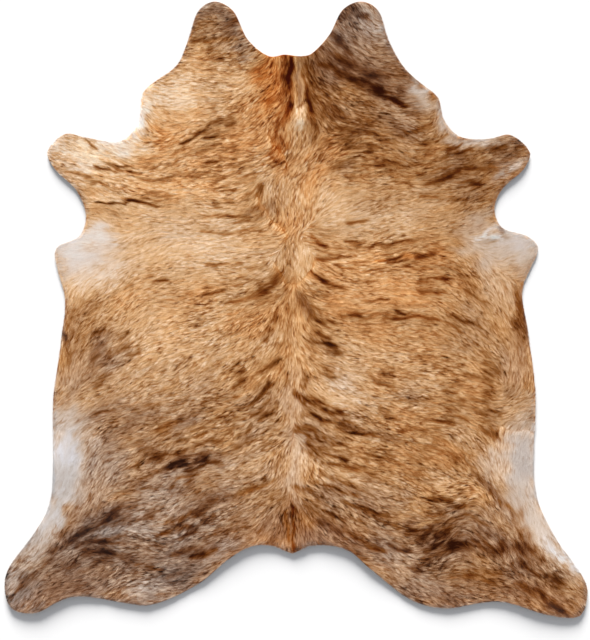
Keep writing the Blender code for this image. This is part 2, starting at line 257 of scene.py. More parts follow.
# Painted in order, each over the last. Places and sizes are in the photograph's pixels: the middle of the patch, its
# half length along "rise" (degrees, + rising to the right) and half width. tone is how light the coat is, 0 to 255;
# grey runs from -1, rusty, to +1, grey or white; streaks is the share of dark hair; grain is how rough the coat looks.
Tone = namedtuple("Tone", "name x y length width rise tone grey streaks grain cover")
TONES = (
    # whole regions
    Tone("upper_left", 190, 150, 130, 110, 0, 171, -0.15, 0.26, 1.3, 1.0),
    Tone("upper_right", 400, 150, 130, 110, 0, 136, 0.02, 0.36, 1.3, 1.0),
    Tone("middle_left", 170, 320, 130, 90, 0, 164, -0.07, 0.17, 1, 1.0),
    Tone("middle_right", 410, 320, 130, 90, 0, 151, -0.22, 0.30, 1, 1.0),
    Tone("lower_left", 170, 450, 130, 70, 0, 147, 0.17, 0.47, 1.35, 1.0),
    Tone("lower_right", 410, 450, 130, 70, 0, 146, -0.05, 0.45, 1.35, 1.0),
    Tone("haunch_left", 130, 545, 120, 60, 30, 125, 0.75, 0.6, 1.55, 1.0),
    Tone("haunch_right", 450, 550, 130, 60, -25, 126, 0.35, 0.6, 1.55, 1.0),
    # neck
    Tone("left_ear", 214, 24, 30, 30, 0, 118, 0.37, 0.4, 1.45, 0.95),
    Tone("left_ear_tip", 215, 8, 22, 9, 0, 111, 0.7, 0.20, 1.1, 0.8),
    Tone("left_ear_rust", 200, 28, 17, 12, 70, 120, -0.25, 0.35, 1.25, 0.8),
    Tone("left_ear_edge", 238, 34, 26, 7, -62, 86, 0.9, 0.30, 1.25, 0.8),
    Tone("left_nape", 222, 68, 48, 18, 8, 156, -0.2, 0.22, 1.15, 0.95),
    Tone("left_nape_edge", 250, 50, 18, 7, -40, 143, 0.55, 0.25, 1.25, 0.7),
    Tone("left_neck", 215, 92, 50, 22, 5, 177, -0.05, 0.10, 0.95, 0.9),
    Tone("left_neck_cream", 168, 95, 30, 19, 28, 209, 0.17, 0.02, 0.65, 0.95),
    Tone("left_neck_edge", 141, 102, 18, 9, 70, 237, 0, 0.0, 0.6, 0.8),
    Tone("left_neck_tan", 165, 122, 22, 10, 0, 186, -0.3, 0.15, 1.1, 0.8),
    Tone("left_neck_low", 138, 128, 20, 8, 62, 238, 0.85, 0.0, 0.6, 0.9),
    Tone("left_mid_neck", 245, 112, 26, 16, 20, 154, -0.25, 0.30, 1.25, 0.8),
    Tone("crease_rust", 272, 88, 40, 17, 88, 122, -1.3, 0.46, 1.2, 0.95),
    Tone("crease_rust_low", 279, 140, 30, 9, 80, 47, -1.5, 0.4, 1.1, 0.8),
    Tone("right_ear", 360, 28, 34, 28, -60, 126, 1.05, 0.38, 1.2, 0.95),
    Tone("right_ear_dark", 348, 14, 18, 10, 60, 50, 1.5, 0.55, 1.25, 0.8),
    Tone("right_ear_pale", 372, 34, 18, 13, -60, 188, 1.05, 0.10, 0.6, 0.9),
    Tone("right_ear_root", 338, 44, 20, 14, 45, 137, 0.9, 0.45, 1.1, 0.8),
    Tone("right_neck", 365, 85, 70, 36, -28, 98, 0.45, 0.58, 1.1, 0.95),
    Tone("right_neck_edge", 395, 68, 30, 14, -48, 113, 0.4, 0.25, 1, 0.8),
    Tone("right_neck_tan", 355, 98, 40, 11, -25, 130, -0.08, 0.30, 1.25, 0.7),
    Tone("right_neck_rosy", 400, 112, 14, 9, -30, 176, 0.1, 0.15, 1.1, 0.8),
    Tone("right_neck_low", 365, 125, 60, 20, -18, 108, 0.15, 0.58, 1.35, 0.85),
    Tone("right_cream", 428, 98, 16, 11, -40, 195, 0.9, 0.03, 0.3, 0.95),
    Tone("right_corner", 430, 120, 20, 10, 75, 131, 0.15, 0.12, 1, 0.85),
    Tone("right_corner_edge", 446, 125, 22, 6, -58, 186, 0.9, 0.0, 0.3, 0.85),
    Tone("pleat_bump", 301.5, 114, 12, 7.5, 80, 214, 0.05, 0.0, 0.1, 1.0),
    Tone("pleat_strip", 298, 90, 18, 4, 86, 160, 0.1, 0.0, 0.4, 0.85),
    Tone("pleat_right", 312, 85, 34, 9, 85, 69, 0.1, 0.35, 1, 0.85),
    # shoulders and forelegs
    Tone("left_shoulder", 200, 155, 68, 26, 6, 162, -0.4, 0.58, 1.5, 0.9),
    Tone("left_shoulder_gold", 158, 143, 20, 12, 0, 168, -0.8, 0.20, 1.1, 0.85),
    Tone("left_shoulder_pale", 178, 148, 12, 10, 0, 150, -0.25, 0.15, 1.1, 0.6),
    Tone("left_foreleg", 90, 162, 50, 22, -18, 218, 0.2, 0.16, 1.1, 0.95),
    Tone("left_forefoot", 62, 148, 15, 15, 0, 186, 0.35, 0.20, 1.1, 0.8),
    Tone("left_foreleg_top", 118, 148, 24, 8, -10, 227, 0.55, 0.0, 0.6, 0.9),
    Tone("left_foreleg_low", 112, 200, 26, 18, -10, 194, -0.17, 0.28, 0.9, 0.85),
    Tone("left_armpit_tan", 112, 222, 24, 12, -8, 157, -0.4, 0.10, 0.8, 0.8),
    Tone("left_forearm", 160, 178, 50, 18, -4, 185, -0.3, 0.36, 1.25, 0.7),
    Tone("left_arc_pale", 235, 190, 40, 12, 6, 180, -0.1, 0.16, 1, 0.7),
    Tone("left_arc_grey", 262, 215, 16, 8, 30, 74, 0.6, 0.35, 1, 0.7),
    Tone("right_shoulder", 400, 160, 85, 24, -4, 141, -0.05, 0.55, 1.35, 0.9),
    Tone("right_shoulder_red", 440, 165, 45, 18, 6, 117, -0.05, 0.40, 1.1, 0.8),
    Tone("right_foreleg", 478, 192, 26, 26, 60, 112, 0.2, 0.30, 0.9, 0.85),
    Tone("right_forefoot", 506, 150, 24, 14, 10, 97, 0.4, 0.35, 1.1, 0.95),
    Tone("right_forefoot_low", 512, 168, 20, 6, 25, 180, 1.05, 0.12, 1, 0.85),
    Tone("right_foreleg_top", 470, 142, 26, 5, 3, 171, 0.9, 0.0, 0.75, 0.9),
    Tone("right_fan_gold", 322, 160, 28, 16, 62, 141, -0.8, 0.18, 1.25, 0.8),
    # pale bands and elbows
    Tone("left_straw", 185, 240, 88, 30, 0, 184, 0.05, 0.06, 0.67, 0.95),
    Tone("left_straw_light", 205, 252, 45, 16, -4, 200, 0.1, 0.02, 0.7, 0.7),
    Tone("left_straw_low", 135, 262, 40, 14, 25, 181, 0.05, 0.10, 0.67, 0.7),
    Tone("left_elbow", 77, 256, 34, 28, 0, 212, 0.7, 0.0, 0.08, 1.0),
    Tone("left_elbow_bright", 94, 236, 18, 9, 12, 221, 0.65, 0.0, 0.1, 0.9),
    Tone("left_elbow_low", 92, 282, 26, 9, 25, 212, 0.25, 0.02, 0.5, 0.8),
    Tone("right_straw", 380, 208, 72, 24, 4, 162, 0.07, 0.10, 0.67, 0.95),
    Tone("right_straw_pale", 332, 205, 22, 26, 45, 196, 0.07, 0.05, 0.67, 0.8),
    Tone("right_straw_mid", 395, 222, 55, 12, 6, 191, 0.1, 0.08, 0.67, 0.7),
    Tone("right_straw_low", 450, 225, 25, 18, 0, 142, 0.15, 0.08, 0.7, 0.7),
    Tone("right_armpit", 480, 222, 16, 10, 20, 165, 0.6, 0.0, 0.3, 0.9),
    Tone("right_elbow", 515, 246, 32, 24, -10, 197, 0.85, 0.0, 0.08, 1.0),
    Tone("right_elbow_in", 478, 250, 22, 14, -30, 184, 0.95, 0.0, 0.2, 0.9),
    Tone("right_elbow_low", 500, 278, 24, 16, -50, 172, 0.4, 0.05, 0.6, 0.85),
    # the spine
    Tone("fan", 297, 195, 75, 12, 89, 164, -0.3, 0.12, 1.1, 0.9),
    Tone("fan_light", 303, 245, 45, 9, 88, 169, 0, 0.05, 1.1, 0.8),
    Tone("spine_rust", 287, 320, 55, 7, 89, 103, 0, 0.25, 1, 0.7),
    Tone("spine_line", 291, 420, 70, 7, 89, 156, 0.35, 0.06, 0.75, 0.9),
    Tone("spine_low", 296, 470, 36, 10, 86, 162, 0.7, 0, 0.45, 0.8),
    Tone("tail", 293, 528, 26, 24, 88, 95, 0.4, 0.27, 1, 0.95),
    # left body
    Tone("left_side_pale", 190, 338, 55, 22, 12, 183, 0, 0.08, 1, 0.8),
    Tone("left_side_gold", 150, 305, 40, 14, 20, 160, -0.2, 0.15, 1, 0.7),
    Tone("left_loin_gold", 255, 318, 30, 16, 25, 146, -0.35, 0.30, 1, 0.7),
    Tone("left_flank_tan", 112, 320, 28, 26, 50, 166, -0.05, 0.20, 0.9, 0.7),
    Tone("left_flank_rust", 80, 322, 28, 18, 70, 126, 0, 0.27, 0.9, 0.9),
    Tone("left_flank_brown", 95, 358, 24, 16, 40, 108, 0.44, 0.46, 0.95, 0.85),
    Tone("left_flank_rosy", 72, 380, 26, 14, 70, 143, 0.5, 0.12, 0.7, 0.85),
    Tone("left_rib_low", 175, 375, 60, 22, 18, 162, 0.05, 0.24, 1.1, 0.7),
    Tone("left_belly", 95, 412, 34, 12, 14, 138, 0.45, 0.28, 1.1, 0.7),
    Tone("left_belly_pale", 66, 410, 16, 8, 10, 169, 0.6, 0.04, 0.3, 0.9),
    Tone("left_haunch_brown", 130, 432, 34, 14, 30, 108, 0.3, 0.43, 1.25, 0.8),
    Tone("left_panel", 64, 455, 40, 24, 88, 202, 1.15, 0.0, 0.08, 1.0),
    Tone("left_panel_blue", 60, 480, 18, 15, 0, 160, 1.4, 0.0, 0.15, 0.7),
    Tone("left_leg_cream", 50, 515, 34, 13, 58, 198, 1.2, 0.02, 0.28, 0.95),
    Tone("left_leg_cream_low", 33, 540, 22, 10, 52, 161, 1.1, 0.05, 0.45, 0.8),
    Tone("left_haunch_pale", 108, 465, 28, 16, 45, 137, 0.95, 0.22, 1.1, 0.8),
    Tone("left_rump", 230, 430, 42, 26, 25, 142, 0.1, 0.44, 1.45, 0.7),
    Tone("left_rump_pale", 232, 470, 40, 12, 24, 159, 0.05, 0.22, 1.25, 0.6),
    # right body
    Tone("right_ribs_gold", 370, 265, 48, 20, 0, 183, -0.4, 0.18, 1, 0.8),
    Tone("right_ribs_red", 432, 268, 34, 26, 4, 138, -0.15, 0.38, 1, 0.8),
    Tone("right_side_gold", 370, 298, 50, 14, 2, 165, -0.5, 0.15, 0.9, 0.8),
    Tone("right_side_rosy", 470, 330, 28, 30, -45, 127, 0.35, 0.22, 0.8, 0.7),
    Tone("right_flank_pale", 502, 318, 34, 10, -72, 152, 0.05, 0.08, 0.7, 0.8),
    Tone("right_flank_red", 520, 318, 32, 7, -84, 66, 0.15, 0.45, 0.7, 0.95),
    Tone("right_flank_low", 516, 370, 30, 14, 82, 128, 0.4, 0.15, 0.7, 0.8),
    Tone("right_mid_pale", 380, 362, 60, 22, -8, 169, 0.03, 0.14, 1, 0.8),
    Tone("right_loin_pale", 340, 388, 30, 18, -20, 190, 0.25, 0.05, 0.9, 0.85),
    Tone("right_belly_gold", 400, 335, 45, 12, -4, 154, -0.2, 0.22, 0.9, 0.6),
    Tone("right_ribs_low", 440, 410, 40, 18, -6, 149, -0.21, 0.34, 1.25, 0.7),
    Tone("right_belly_edge", 515, 415, 20, 9, 30, 165, 0.15, 0.08, 0.9, 0.8),
    Tone("right_panel", 522, 462, 42, 20, 84, 186, 1.1, 0.0, 0.13, 1.0),
    Tone("right_panel_grey", 524, 462, 26, 14, 84, 152, 1.4, 0.0, 0.2, 0.6),
    Tone("right_panel_in", 490, 462, 22, 10, 60, 176, 0.85, 0.02, 0.45, 0.8),
    Tone("right_leg_cream", 542, 525, 44, 14, -52, 185, 0.95, 0.0, 0.25, 0.95),
    Tone("right_leg_edge", 562, 560, 24, 11, -50, 219, 0.95, 0.02, 0.45, 0.8),
    Tone("right_haunch_gold", 420, 455, 50, 18, -8, 137, -0.2, 0.28, 1.25, 0.7),
    Tone("right_thigh_gold", 455, 490, 24, 14, 0, 176, -0.3, 0.20, 1.25, 0.8),
    Tone("right_rump_pale", 345, 470, 40, 20, -20, 171, -0.15, 0.3, 1.4, 0.6),
    Tone("right_thigh_pale", 412, 505, 22, 14, 10, 146, -0.4, 0.20, 1.35, 0.7),
    # haunches and hind legs
    Tone("left_thigh_grey", 148, 520, 34, 24, 40, 151, 0.55, 0.5, 1.35, 0.8),
    Tone("left_thigh_dark", 98, 528, 34, 13, 40, 112, 1.4, 0.6, 1.35, 0.85),
    Tone("left_stifle_dark", 105, 548, 18, 12, -30, 165, 1.4, 0.6, 1.35, 0.7),
    Tone("left_leg_brown", 70, 560, 40, 16, 48, 111, 0.95, 0.46, 1.3, 0.8),
    Tone("left_leg_rosy", 100, 575, 28, 14, 30, 107, 1.1, 0.26, 1.25, 0.8),
    Tone("left_leg_rust", 62, 588, 18, 10, 30, 100, 0.65, 0.15, 0.8, 0.8),
    Tone("left_foot", 25, 590, 22, 13, 50, 118, 1.6, 0.20, 0.75, 0.8),
    Tone("left_foot_edge", 12, 582, 22, 7, 62, 159, 1, 0.05, 0.6, 0.8),
    Tone("left_lobe", 140, 590, 30, 9, -4, 173, 0.9, 0.10, 1.2, 0.9),
    Tone("left_lobe_in", 180, 572, 30, 14, 25, 94, 1.3, 0.62, 1.3, 0.8),
    Tone("left_bay", 225, 548, 28, 9, 25, 159, 1.1, 0.38, 1.3, 0.7),
    Tone("right_bay", 330, 540, 36, 10, -14, 108, 1.1, 0.51, 1.3, 0.6),
    Tone("right_lobe_in", 395, 562, 26, 16, -30, 142, 0.75, 0.36, 1.35, 0.85),
    Tone("right_lobe", 425, 590, 28, 12, -15, 112, 1.05, 0.22, 1.35, 0.85),
    Tone("right_thigh_dark", 468, 540, 34, 17, 5, 122, 0.5, 0.62, 1.35, 0.8),
    Tone("right_thigh_rust", 480, 575, 40, 15, 0, 110, 0.25, 0.42, 1.25, 0.85),
    Tone("right_leg_dark", 545, 575, 40, 13, -44, 126, 0.45, 0.54, 1.3, 0.8),
    Tone("right_foot_rust", 568, 592, 22, 12, -42, 124, 0.2, 0.4, 1.3, 0.7),
)

# Dark (or light) marks of the coat, each one stroke from one place to the other along the hair.
Mark = namedtuple("Mark", "name x0 y0 x1 y1 width tone grey cover")
MARKS = (
    Mark("ear_band", 222, 32, 240, 18, 5, 79, 0.4, 0.7),
    Mark("ear_band_low", 196, 44, 232, 38, 4, 96, -0.1, 0.6),
    Mark("left_neck_streak", 182, 142, 206, 128, 3.2, 41, 0.2, 0.95),
    Mark("left_neck_streak_end", 206, 127, 234, 118, 4.5, 81, 0.2, 0.8),
    Mark("left_shoulder_spot", 200, 151, 214, 147, 4, 103, -0.2, 0.8),
    Mark("left_shoulder_low", 150, 182, 175, 178, 2.6, 129, 0.0, 0.8),
    Mark("left_shoulder_wave", 176, 177, 205, 168, 3, 134, -0.25, 0.6),
    Mark("left_arm_streak", 118, 170, 150, 182, 2.4, 107, -0.2, 0.8),
    Mark("left_leg_streak", 82, 174, 114, 190, 3.4, 150, 0.1, 0.85),
    Mark("left_leg_line", 100, 203, 126, 203, 2.2, 33, 0.4, 0.85),
    Mark("left_leg_line_end", 124, 200, 160, 207, 2.6, 66, 0.0, 0.9),
    Mark("left_leg_high", 68, 162, 80, 168, 2, 196, 0.0, 0.7),
    Mark("left_foot_mark", 88, 143, 98, 150, 2, 70, 0.0, 0.6),
    Mark("arc_1", 203, 163, 240, 158, 2.6, 98, 0.0, 0.6),
    Mark("arc_2", 225, 176, 252, 168, 3, 110, 0, 0.6),
    Mark("arc_3", 215, 203, 248, 200, 2.4, 116, 0.1, 0.7),
    Mark("arc_4", 248, 199, 262, 184, 3, 77, 0.2, 0.7),
    Mark("arc_5", 203, 216, 246, 216, 2.2, 135, -0.4, 0.8),
    Mark("arc_6", 246, 216, 266, 200, 3.4, 118, 0.3, 0.8),
    Mark("arc_7", 200, 231, 232, 234, 2, 134, -0.25, 0.7),
    Mark("arc_8", 222, 236, 254, 228, 2.2, 121, -0.35, 0.7),
    Mark("left_rib_spot", 160, 279, 172, 279, 3, 87, -0.15, 0.9),
    Mark("left_rib_streak", 203, 294, 228, 291, 2.4, 72, 0.0, 0.9),
    Mark("left_spine_patch", 262, 290, 278, 278, 8, 70, 0.0, 0.85),
    Mark("left_spine_tail", 236, 300, 266, 292, 4, 121, -0.45, 0.7),
    Mark("left_loin_dash", 228, 332, 262, 322, 3, 172, -0.5, 0.6),
    Mark("left_loin_dash_low", 250, 336, 274, 330, 3, 102, -0.45, 0.5),
    Mark("left_flank_spot", 64, 334, 66, 343, 3.2, 60, 1, 0.95),
    Mark("left_flank_smudge", 104, 362, 112, 352, 4, 92, 0.3, 0.7),
    Mark("left_rib_smudge", 126, 357, 138, 352, 3, 93, 0.1, 0.7),
    Mark("left_belly_dash", 92, 414, 118, 409, 2.6, 73, 0.45, 0.7),
    Mark("left_side_dash", 138, 412, 158, 404, 4, 71, 0.0, 0.7),
    Mark("left_rump_patch", 252, 404, 268, 384, 8, 45, 0.35, 0.8),
    Mark("left_spine_dark", 262, 374, 280, 360, 4, 54, 0.4, 0.7),
    Mark("left_rump_dash", 190, 428, 216, 420, 4, 144, 0.0, 0.7),
    Mark("left_rump_dash_low", 200, 444, 222, 440, 2.4, 78, 0.0, 0.8),
    Mark("left_rump_brown", 140, 448, 160, 456, 8, 104, 0.25, 0.7),
    Mark("left_rump_line", 152, 459, 178, 452, 3, 77, 0.15, 0.8),
    Mark("left_black", 166, 469, 186, 462, 4.5, 30, 0.65, 0.95),
    Mark("left_black_mid", 180, 463, 204, 455, 7.5, 20, 0.65, 0.98),
    Mark("left_black_end", 202, 456, 216, 464, 4.5, 84, 0.25, 0.8),
    Mark("left_haunch_dash", 178, 480, 196, 474, 4, 87, 0.1, 0.6),
    Mark("left_rump_lines", 242, 492, 274, 482, 5, 112, -0.1, 0.7),
    Mark("left_bay_dash", 166, 524, 204, 512, 4, 80, 0.2, 0.85),
    Mark("left_bay_dash_low", 160, 534, 190, 526, 4, 78, 0.1, 0.8),
    Mark("left_bay_spot", 196, 558, 214, 550, 4.5, 64, 0.1, 0.85),
    Mark("left_lobe_dash", 168, 578, 192, 566, 5, 100, 0.75, 0.7),
    Mark("left_lobe_rim", 178, 588, 196, 582, 4, 126, 1.4, 0.7),
    Mark("left_thigh_top", 78, 520, 104, 500, 6, 124, 0.55, 0.6),
    Mark("left_thigh_black", 56, 550, 88, 529, 5.5, 76, 0.9, 0.9),
    Mark("left_thigh_black_top", 82, 533, 121, 514, 6.5, 70, 0.9, 0.9),
    Mark("left_thigh_arm", 112, 508, 132, 514, 4, 150, 0.85, 0.7),
    Mark("left_stifle", 94, 534, 112, 558, 6, 110, 0.9, 0.65),
    Mark("left_stifle_end", 112, 552, 132, 562, 5, 112, 0.7, 0.7),
    Mark("left_stifle_low", 138, 566, 160, 572, 4, 84, 0.3, 0.7),
    Mark("left_leg_spot", 74, 566, 82, 552, 5, 10, 0.4, 0.7),
    Mark("left_shank_line", 42, 568, 58, 552, 4, 70, 0.7, 0.75),
    Mark("left_foot_line", 16, 588, 38, 572, 4, 68, 0.9, 0.8),
    Mark("left_foot_tip", 8, 598, 14, 592, 3, 6, 1.4, 0.9),
    Mark("left_foot_rim", 20, 609, 44, 604, 4, 116, 1.4, 0.7),
    Mark("right_ear_mark", 340, 20, 352, 6, 5, 84, 0.65, 0.7),
    Mark("right_ear_band", 358, 14, 368, 18, 4, 33, 1, 0.7),
    Mark("right_ear_low", 362, 42, 380, 40, 3, 124, 0.75, 0.6),
    Mark("right_neck_black", 322, 65, 352, 79, 4.4, 76, 0.1, 0.95),
    Mark("right_neck_black_mid", 346, 76, 381, 90, 4.4, 57, 0.15, 0.95),
    Mark("right_neck_black_end", 375, 87, 405, 105, 4.2, 34, -0.05, 0.95),
    Mark("right_neck_cross", 352, 64, 372, 78, 4, 72, 0.35, 0.6),
    Mark("right_neck_spots", 326, 108, 344, 118, 7, 74, 0.1, 0.6),
    Mark("right_crest_dash", 330, 128, 358, 134, 4, 65, 0.1, 0.8),
    Mark("right_crest_dash_2", 380, 140, 404, 138, 3, 73, 0.3, 0.6),
    Mark("right_shoulder_dash", 346, 146, 372, 152, 5, 79, 0.1, 0.75),
    Mark("right_corner_dash", 408, 132, 428, 126, 4, 78, -0.2, 0.7),
    Mark("right_arm_line", 420, 184, 462, 172, 4, 58, 0.0, 0.75),
    Mark("right_arm_line_2", 462, 172, 496, 164, 4, 119, 0.0, 0.7),
    Mark("right_arm_dash", 456, 184, 480, 182, 4, 40, 0.0, 0.9),
    Mark("right_arm_low", 424, 198, 466, 198, 3, 88, 0.0, 0.6),
    Mark("right_forefoot_dark", 494, 152, 504, 146, 6, 71, 0.1, 0.7),
    Mark("right_forefoot_low", 496, 158, 508, 172, 3, 161, 0.3, 0.6),
    Mark("right_straw_spot", 352, 222, 366, 222, 3.4, 115, -0.1, 0.8),
    Mark("right_rib_line", 352, 247, 384, 248, 1.8, 107, -0.1, 0.8),
    Mark("right_rib_line_2", 384, 246, 424, 238, 3, 139, -0.1, 0.8),
    Mark("right_rib_line_3", 376, 261, 420, 256, 3.4, 161, -1.15, 0.8),
    Mark("right_rib_spot", 420, 257, 432, 253, 4, 73, -0.4, 0.85),
    Mark("right_rib_in", 318, 258, 338, 258, 4, 92, -0.3, 0.8),
    Mark("right_fan_dash", 308, 240, 322, 248, 4, 40, -0.75, 0.9),
    Mark("right_rib_line_4", 416, 280, 446, 280, 3, 40, -0.6, 0.95),
    Mark("right_rib_spot_2", 420, 292, 440, 292, 4, 92, -0.4, 0.7),
    Mark("right_loin_dash", 308, 276, 328, 282, 3, 109, -0.5, 0.8),
    Mark("right_loin_line", 324, 283, 344, 289, 2.6, 78, -0.2, 0.9),
    Mark("right_side_line", 350, 313, 420, 317, 3.4, 136, -0.55, 0.8),
    Mark("right_side_line_2", 380, 316, 436, 319, 3, 87, -0.4, 0.7),
    Mark("right_side_end", 448, 316, 484, 328, 4, 30, 0.15, 0.7),
    Mark("right_flank_arc", 452, 268, 476, 292, 3.4, 108, 0.1, 0.6),
    Mark("right_flank_arc_2", 466, 290, 484, 302, 2.6, 92, 0.0, 0.7),
    Mark("spine_patch", 300, 296, 310, 314, 8, 93, 0.5, 0.9),
    Mark("spine_patch_2", 312, 338, 336, 350, 7, 48, 0.4, 0.75),
    Mark("spine_patch_3", 322, 368, 336, 378, 5, 86, -0.2, 0.6),
    Mark("spine_patch_4", 304, 372, 306, 386, 4, 77, 0.35, 0.7),
    Mark("right_loin_black", 300, 398, 338, 413, 5.5, 88, -0.05, 0.95),
    Mark("right_loin_black_2", 308, 414, 336, 424, 4, 129, -0.15, 0.9),
    Mark("right_rump_line", 338, 424, 400, 440, 4, 116, 0.2, 0.85),
    Mark("right_rump_black", 302, 428, 342, 446, 4.5, 90, 0, 0.9),
    Mark("right_rump_dash", 304, 442, 346, 460, 3.6, 35, 0, 0.8),
    Mark("right_rump_dash_2", 338, 446, 372, 458, 3, 250, -0.15, 0.9),
    Mark("right_side_spot", 374, 382, 396, 390, 4, 120, -0.1, 0.7),
    Mark("right_side_spot_2", 376, 408, 394, 418, 4, 96, -0.1, 0.6),
    Mark("right_side_dash", 400, 400, 440, 402, 3, 112, -0.2, 0.6),
    Mark("right_side_dash_2", 432, 420, 452, 420, 3, 99, -0.1, 0.7),
    Mark("right_side_dash_3", 398, 432, 430, 428, 3, 41, -0.2, 0.5),
    Mark("right_flank_column", 486, 362, 490, 430, 7, 110, 0.1, 0.55),
    Mark("right_flank_spot", 482, 430, 498, 438, 4.5, 74, 0.35, 0.8),
    Mark("right_flank_top", 484, 360, 500, 372, 4, 100, 0.1, 0.6),
    Mark("right_thigh_line", 464, 460, 480, 476, 4, 80, 0.35, 0.6),
    Mark("right_thigh_line_2", 482, 478, 502, 502, 5, 111, 0.7, 0.85),
    Mark("right_thigh_line_3", 502, 502, 522, 520, 4, 134, 0.3, 0.8),
    Mark("right_thigh_spot", 432, 498, 450, 500, 4, 44, 0.25, 0.8),
    Mark("right_arc", 412, 530, 436, 520, 4, 176, -0.2, 0.8),
    Mark("right_arc_2", 436, 520, 460, 506, 5, 64, -0.15, 0.8),
    Mark("right_arc_light", 440, 508, 480, 502, 2.4, 150, 0.1, 0.7),
    Mark("right_bay_line", 392, 524, 414, 532, 3.4, 96, -0.15, 0.85),
    Mark("right_rump_line_3", 326, 484, 356, 496, 3.4, 82, 0.0, 0.8),
    Mark("right_rump_line_4", 344, 500, 386, 518, 4, 83, 0.0, 0.75),
    Mark("right_bay_black", 322, 524, 352, 534, 6, 77, 0.55, 0.8),
    Mark("right_bay_black_2", 348, 536, 382, 550, 5, 64, 0.0, 0.85),
    Mark("right_bay_black_3", 392, 548, 410, 550, 4, 22, 0.7, 0.85),
    Mark("right_thigh_black", 450, 544, 500, 548, 8, 46, 0.2, 0.95),
    Mark("right_thigh_black_2", 436, 538, 450, 524, 6, 69, -0.1, 0.8),
    Mark("right_thigh_black_3", 418, 566, 436, 548, 5, 66, 0.25, 0.8),
    Mark("right_thigh_black_4", 474, 530, 484, 536, 6, 75, 0.15, 0.6),
    Mark("right_thigh_rust_spot", 470, 574, 498, 574, 5, 87, -0.1, 0.6),
    Mark("right_leg_black", 516, 546, 536, 564, 7, 112, 0.4, 0.75),
    Mark("right_leg_black_2", 532, 568, 560, 590, 5, 135, 0.15, 0.75),
    Mark("right_leg_line", 518, 584, 542, 596, 6, 64, 0.2, 0.75),
    Mark("right_foot_black", 546, 602, 566, 614, 5, 36, 0.8, 0.85),
    Mark("right_leg_light", 526, 578, 560, 602, 2.2, 213, 0.3, 0.8),
    Mark("right_leg_light_2", 548, 584, 576, 604, 1.8, 142, 0.2, 0.6),
    Mark("right_lobe_spot", 444, 594, 462, 602, 4.5, 84, 0.45, 0.75),
    Mark("right_lobe_spot_2", 404, 590, 422, 596, 4, 145, 0.95, 0.6),
    Mark("right_lobe_dash", 412, 566, 420, 574, 4, 59, 0.6, 0.6),
    # The slit at the tail's root: rusty hair darkened with painted shade in the slit.
    Mark("tail_crease", 292, 506, 292.5, 552, 2.6, 58, -0.4, 0.85),
    Mark("tail_side_dark", 284, 516, 288, 540, 3.4, 86, -0.4, 0.6),
    # neck_crease and neck_crease_top: rusty hair darkened with painted shade in the crease beside the pleat.
    Mark("neck_crease", 290, 60, 291.5, 110, 2.8, 32, -0.65, 0.95),
    Mark("neck_crease_side", 284, 56, 286, 96, 4, 59, -0.6, 0.7),
    Mark("neck_crease_top", 289.5, 57, 290.5, 78, 3.2, 45, -0.7, 0.9),
    Mark("pleat_wide", 297.5, 80, 299.5, 98, 4.5, 163, 0.05, 0.9),
    # Painted shadow: the thin dark line where the pleat's ridge ends.
    Mark("pleat_shadow_ring", 293, 106, 306, 101.5, 2.2, 25, -0.2, 0.9),
    Mark("neck_pleat", 296.5, 66, 298, 100, 2.6, 120, 0.4, 0.85),
    Mark("pleat_bump", 301, 109, 302.5, 119, 7, 218, 0, 0.95),
    # The bump's foot lies on the pleat's shaded slope and is drawn lighter than its golden hair: painted light against
    # that shade.
    Mark("pleat_foot", 301, 122, 303, 128, 5, 186, -0.4, 0.7),
    # pleat_shade and pleat_side are painted shade, on the dark right flank of the pleat and of its bump.
    Mark("pleat_shade", 305, 86, 312, 110, 3.2, 22, -0.25, 0.9),
    Mark("pleat_side", 312, 110, 313, 122, 2.8, 84, -0.3, 0.8),
    Mark("pleat_low", 288, 108, 286, 128, 3.5, 74, -0.95, 0.7),
    Mark("armpit_fold", 474, 240, 498, 226, 4, 232, 1.1, 0.9),
    # armpit_shade and the line below the fold are painted shade: the dark notch at the fold's end and the grey shade
    # under it.
    Mark("armpit_shade", 500, 228, 504, 238, 3, 130, 1.5, 0.95),
    Mark("armpit_fold_shadow", 482, 244, 500, 240, 1.8, 122, 0.85, 0.5),
)

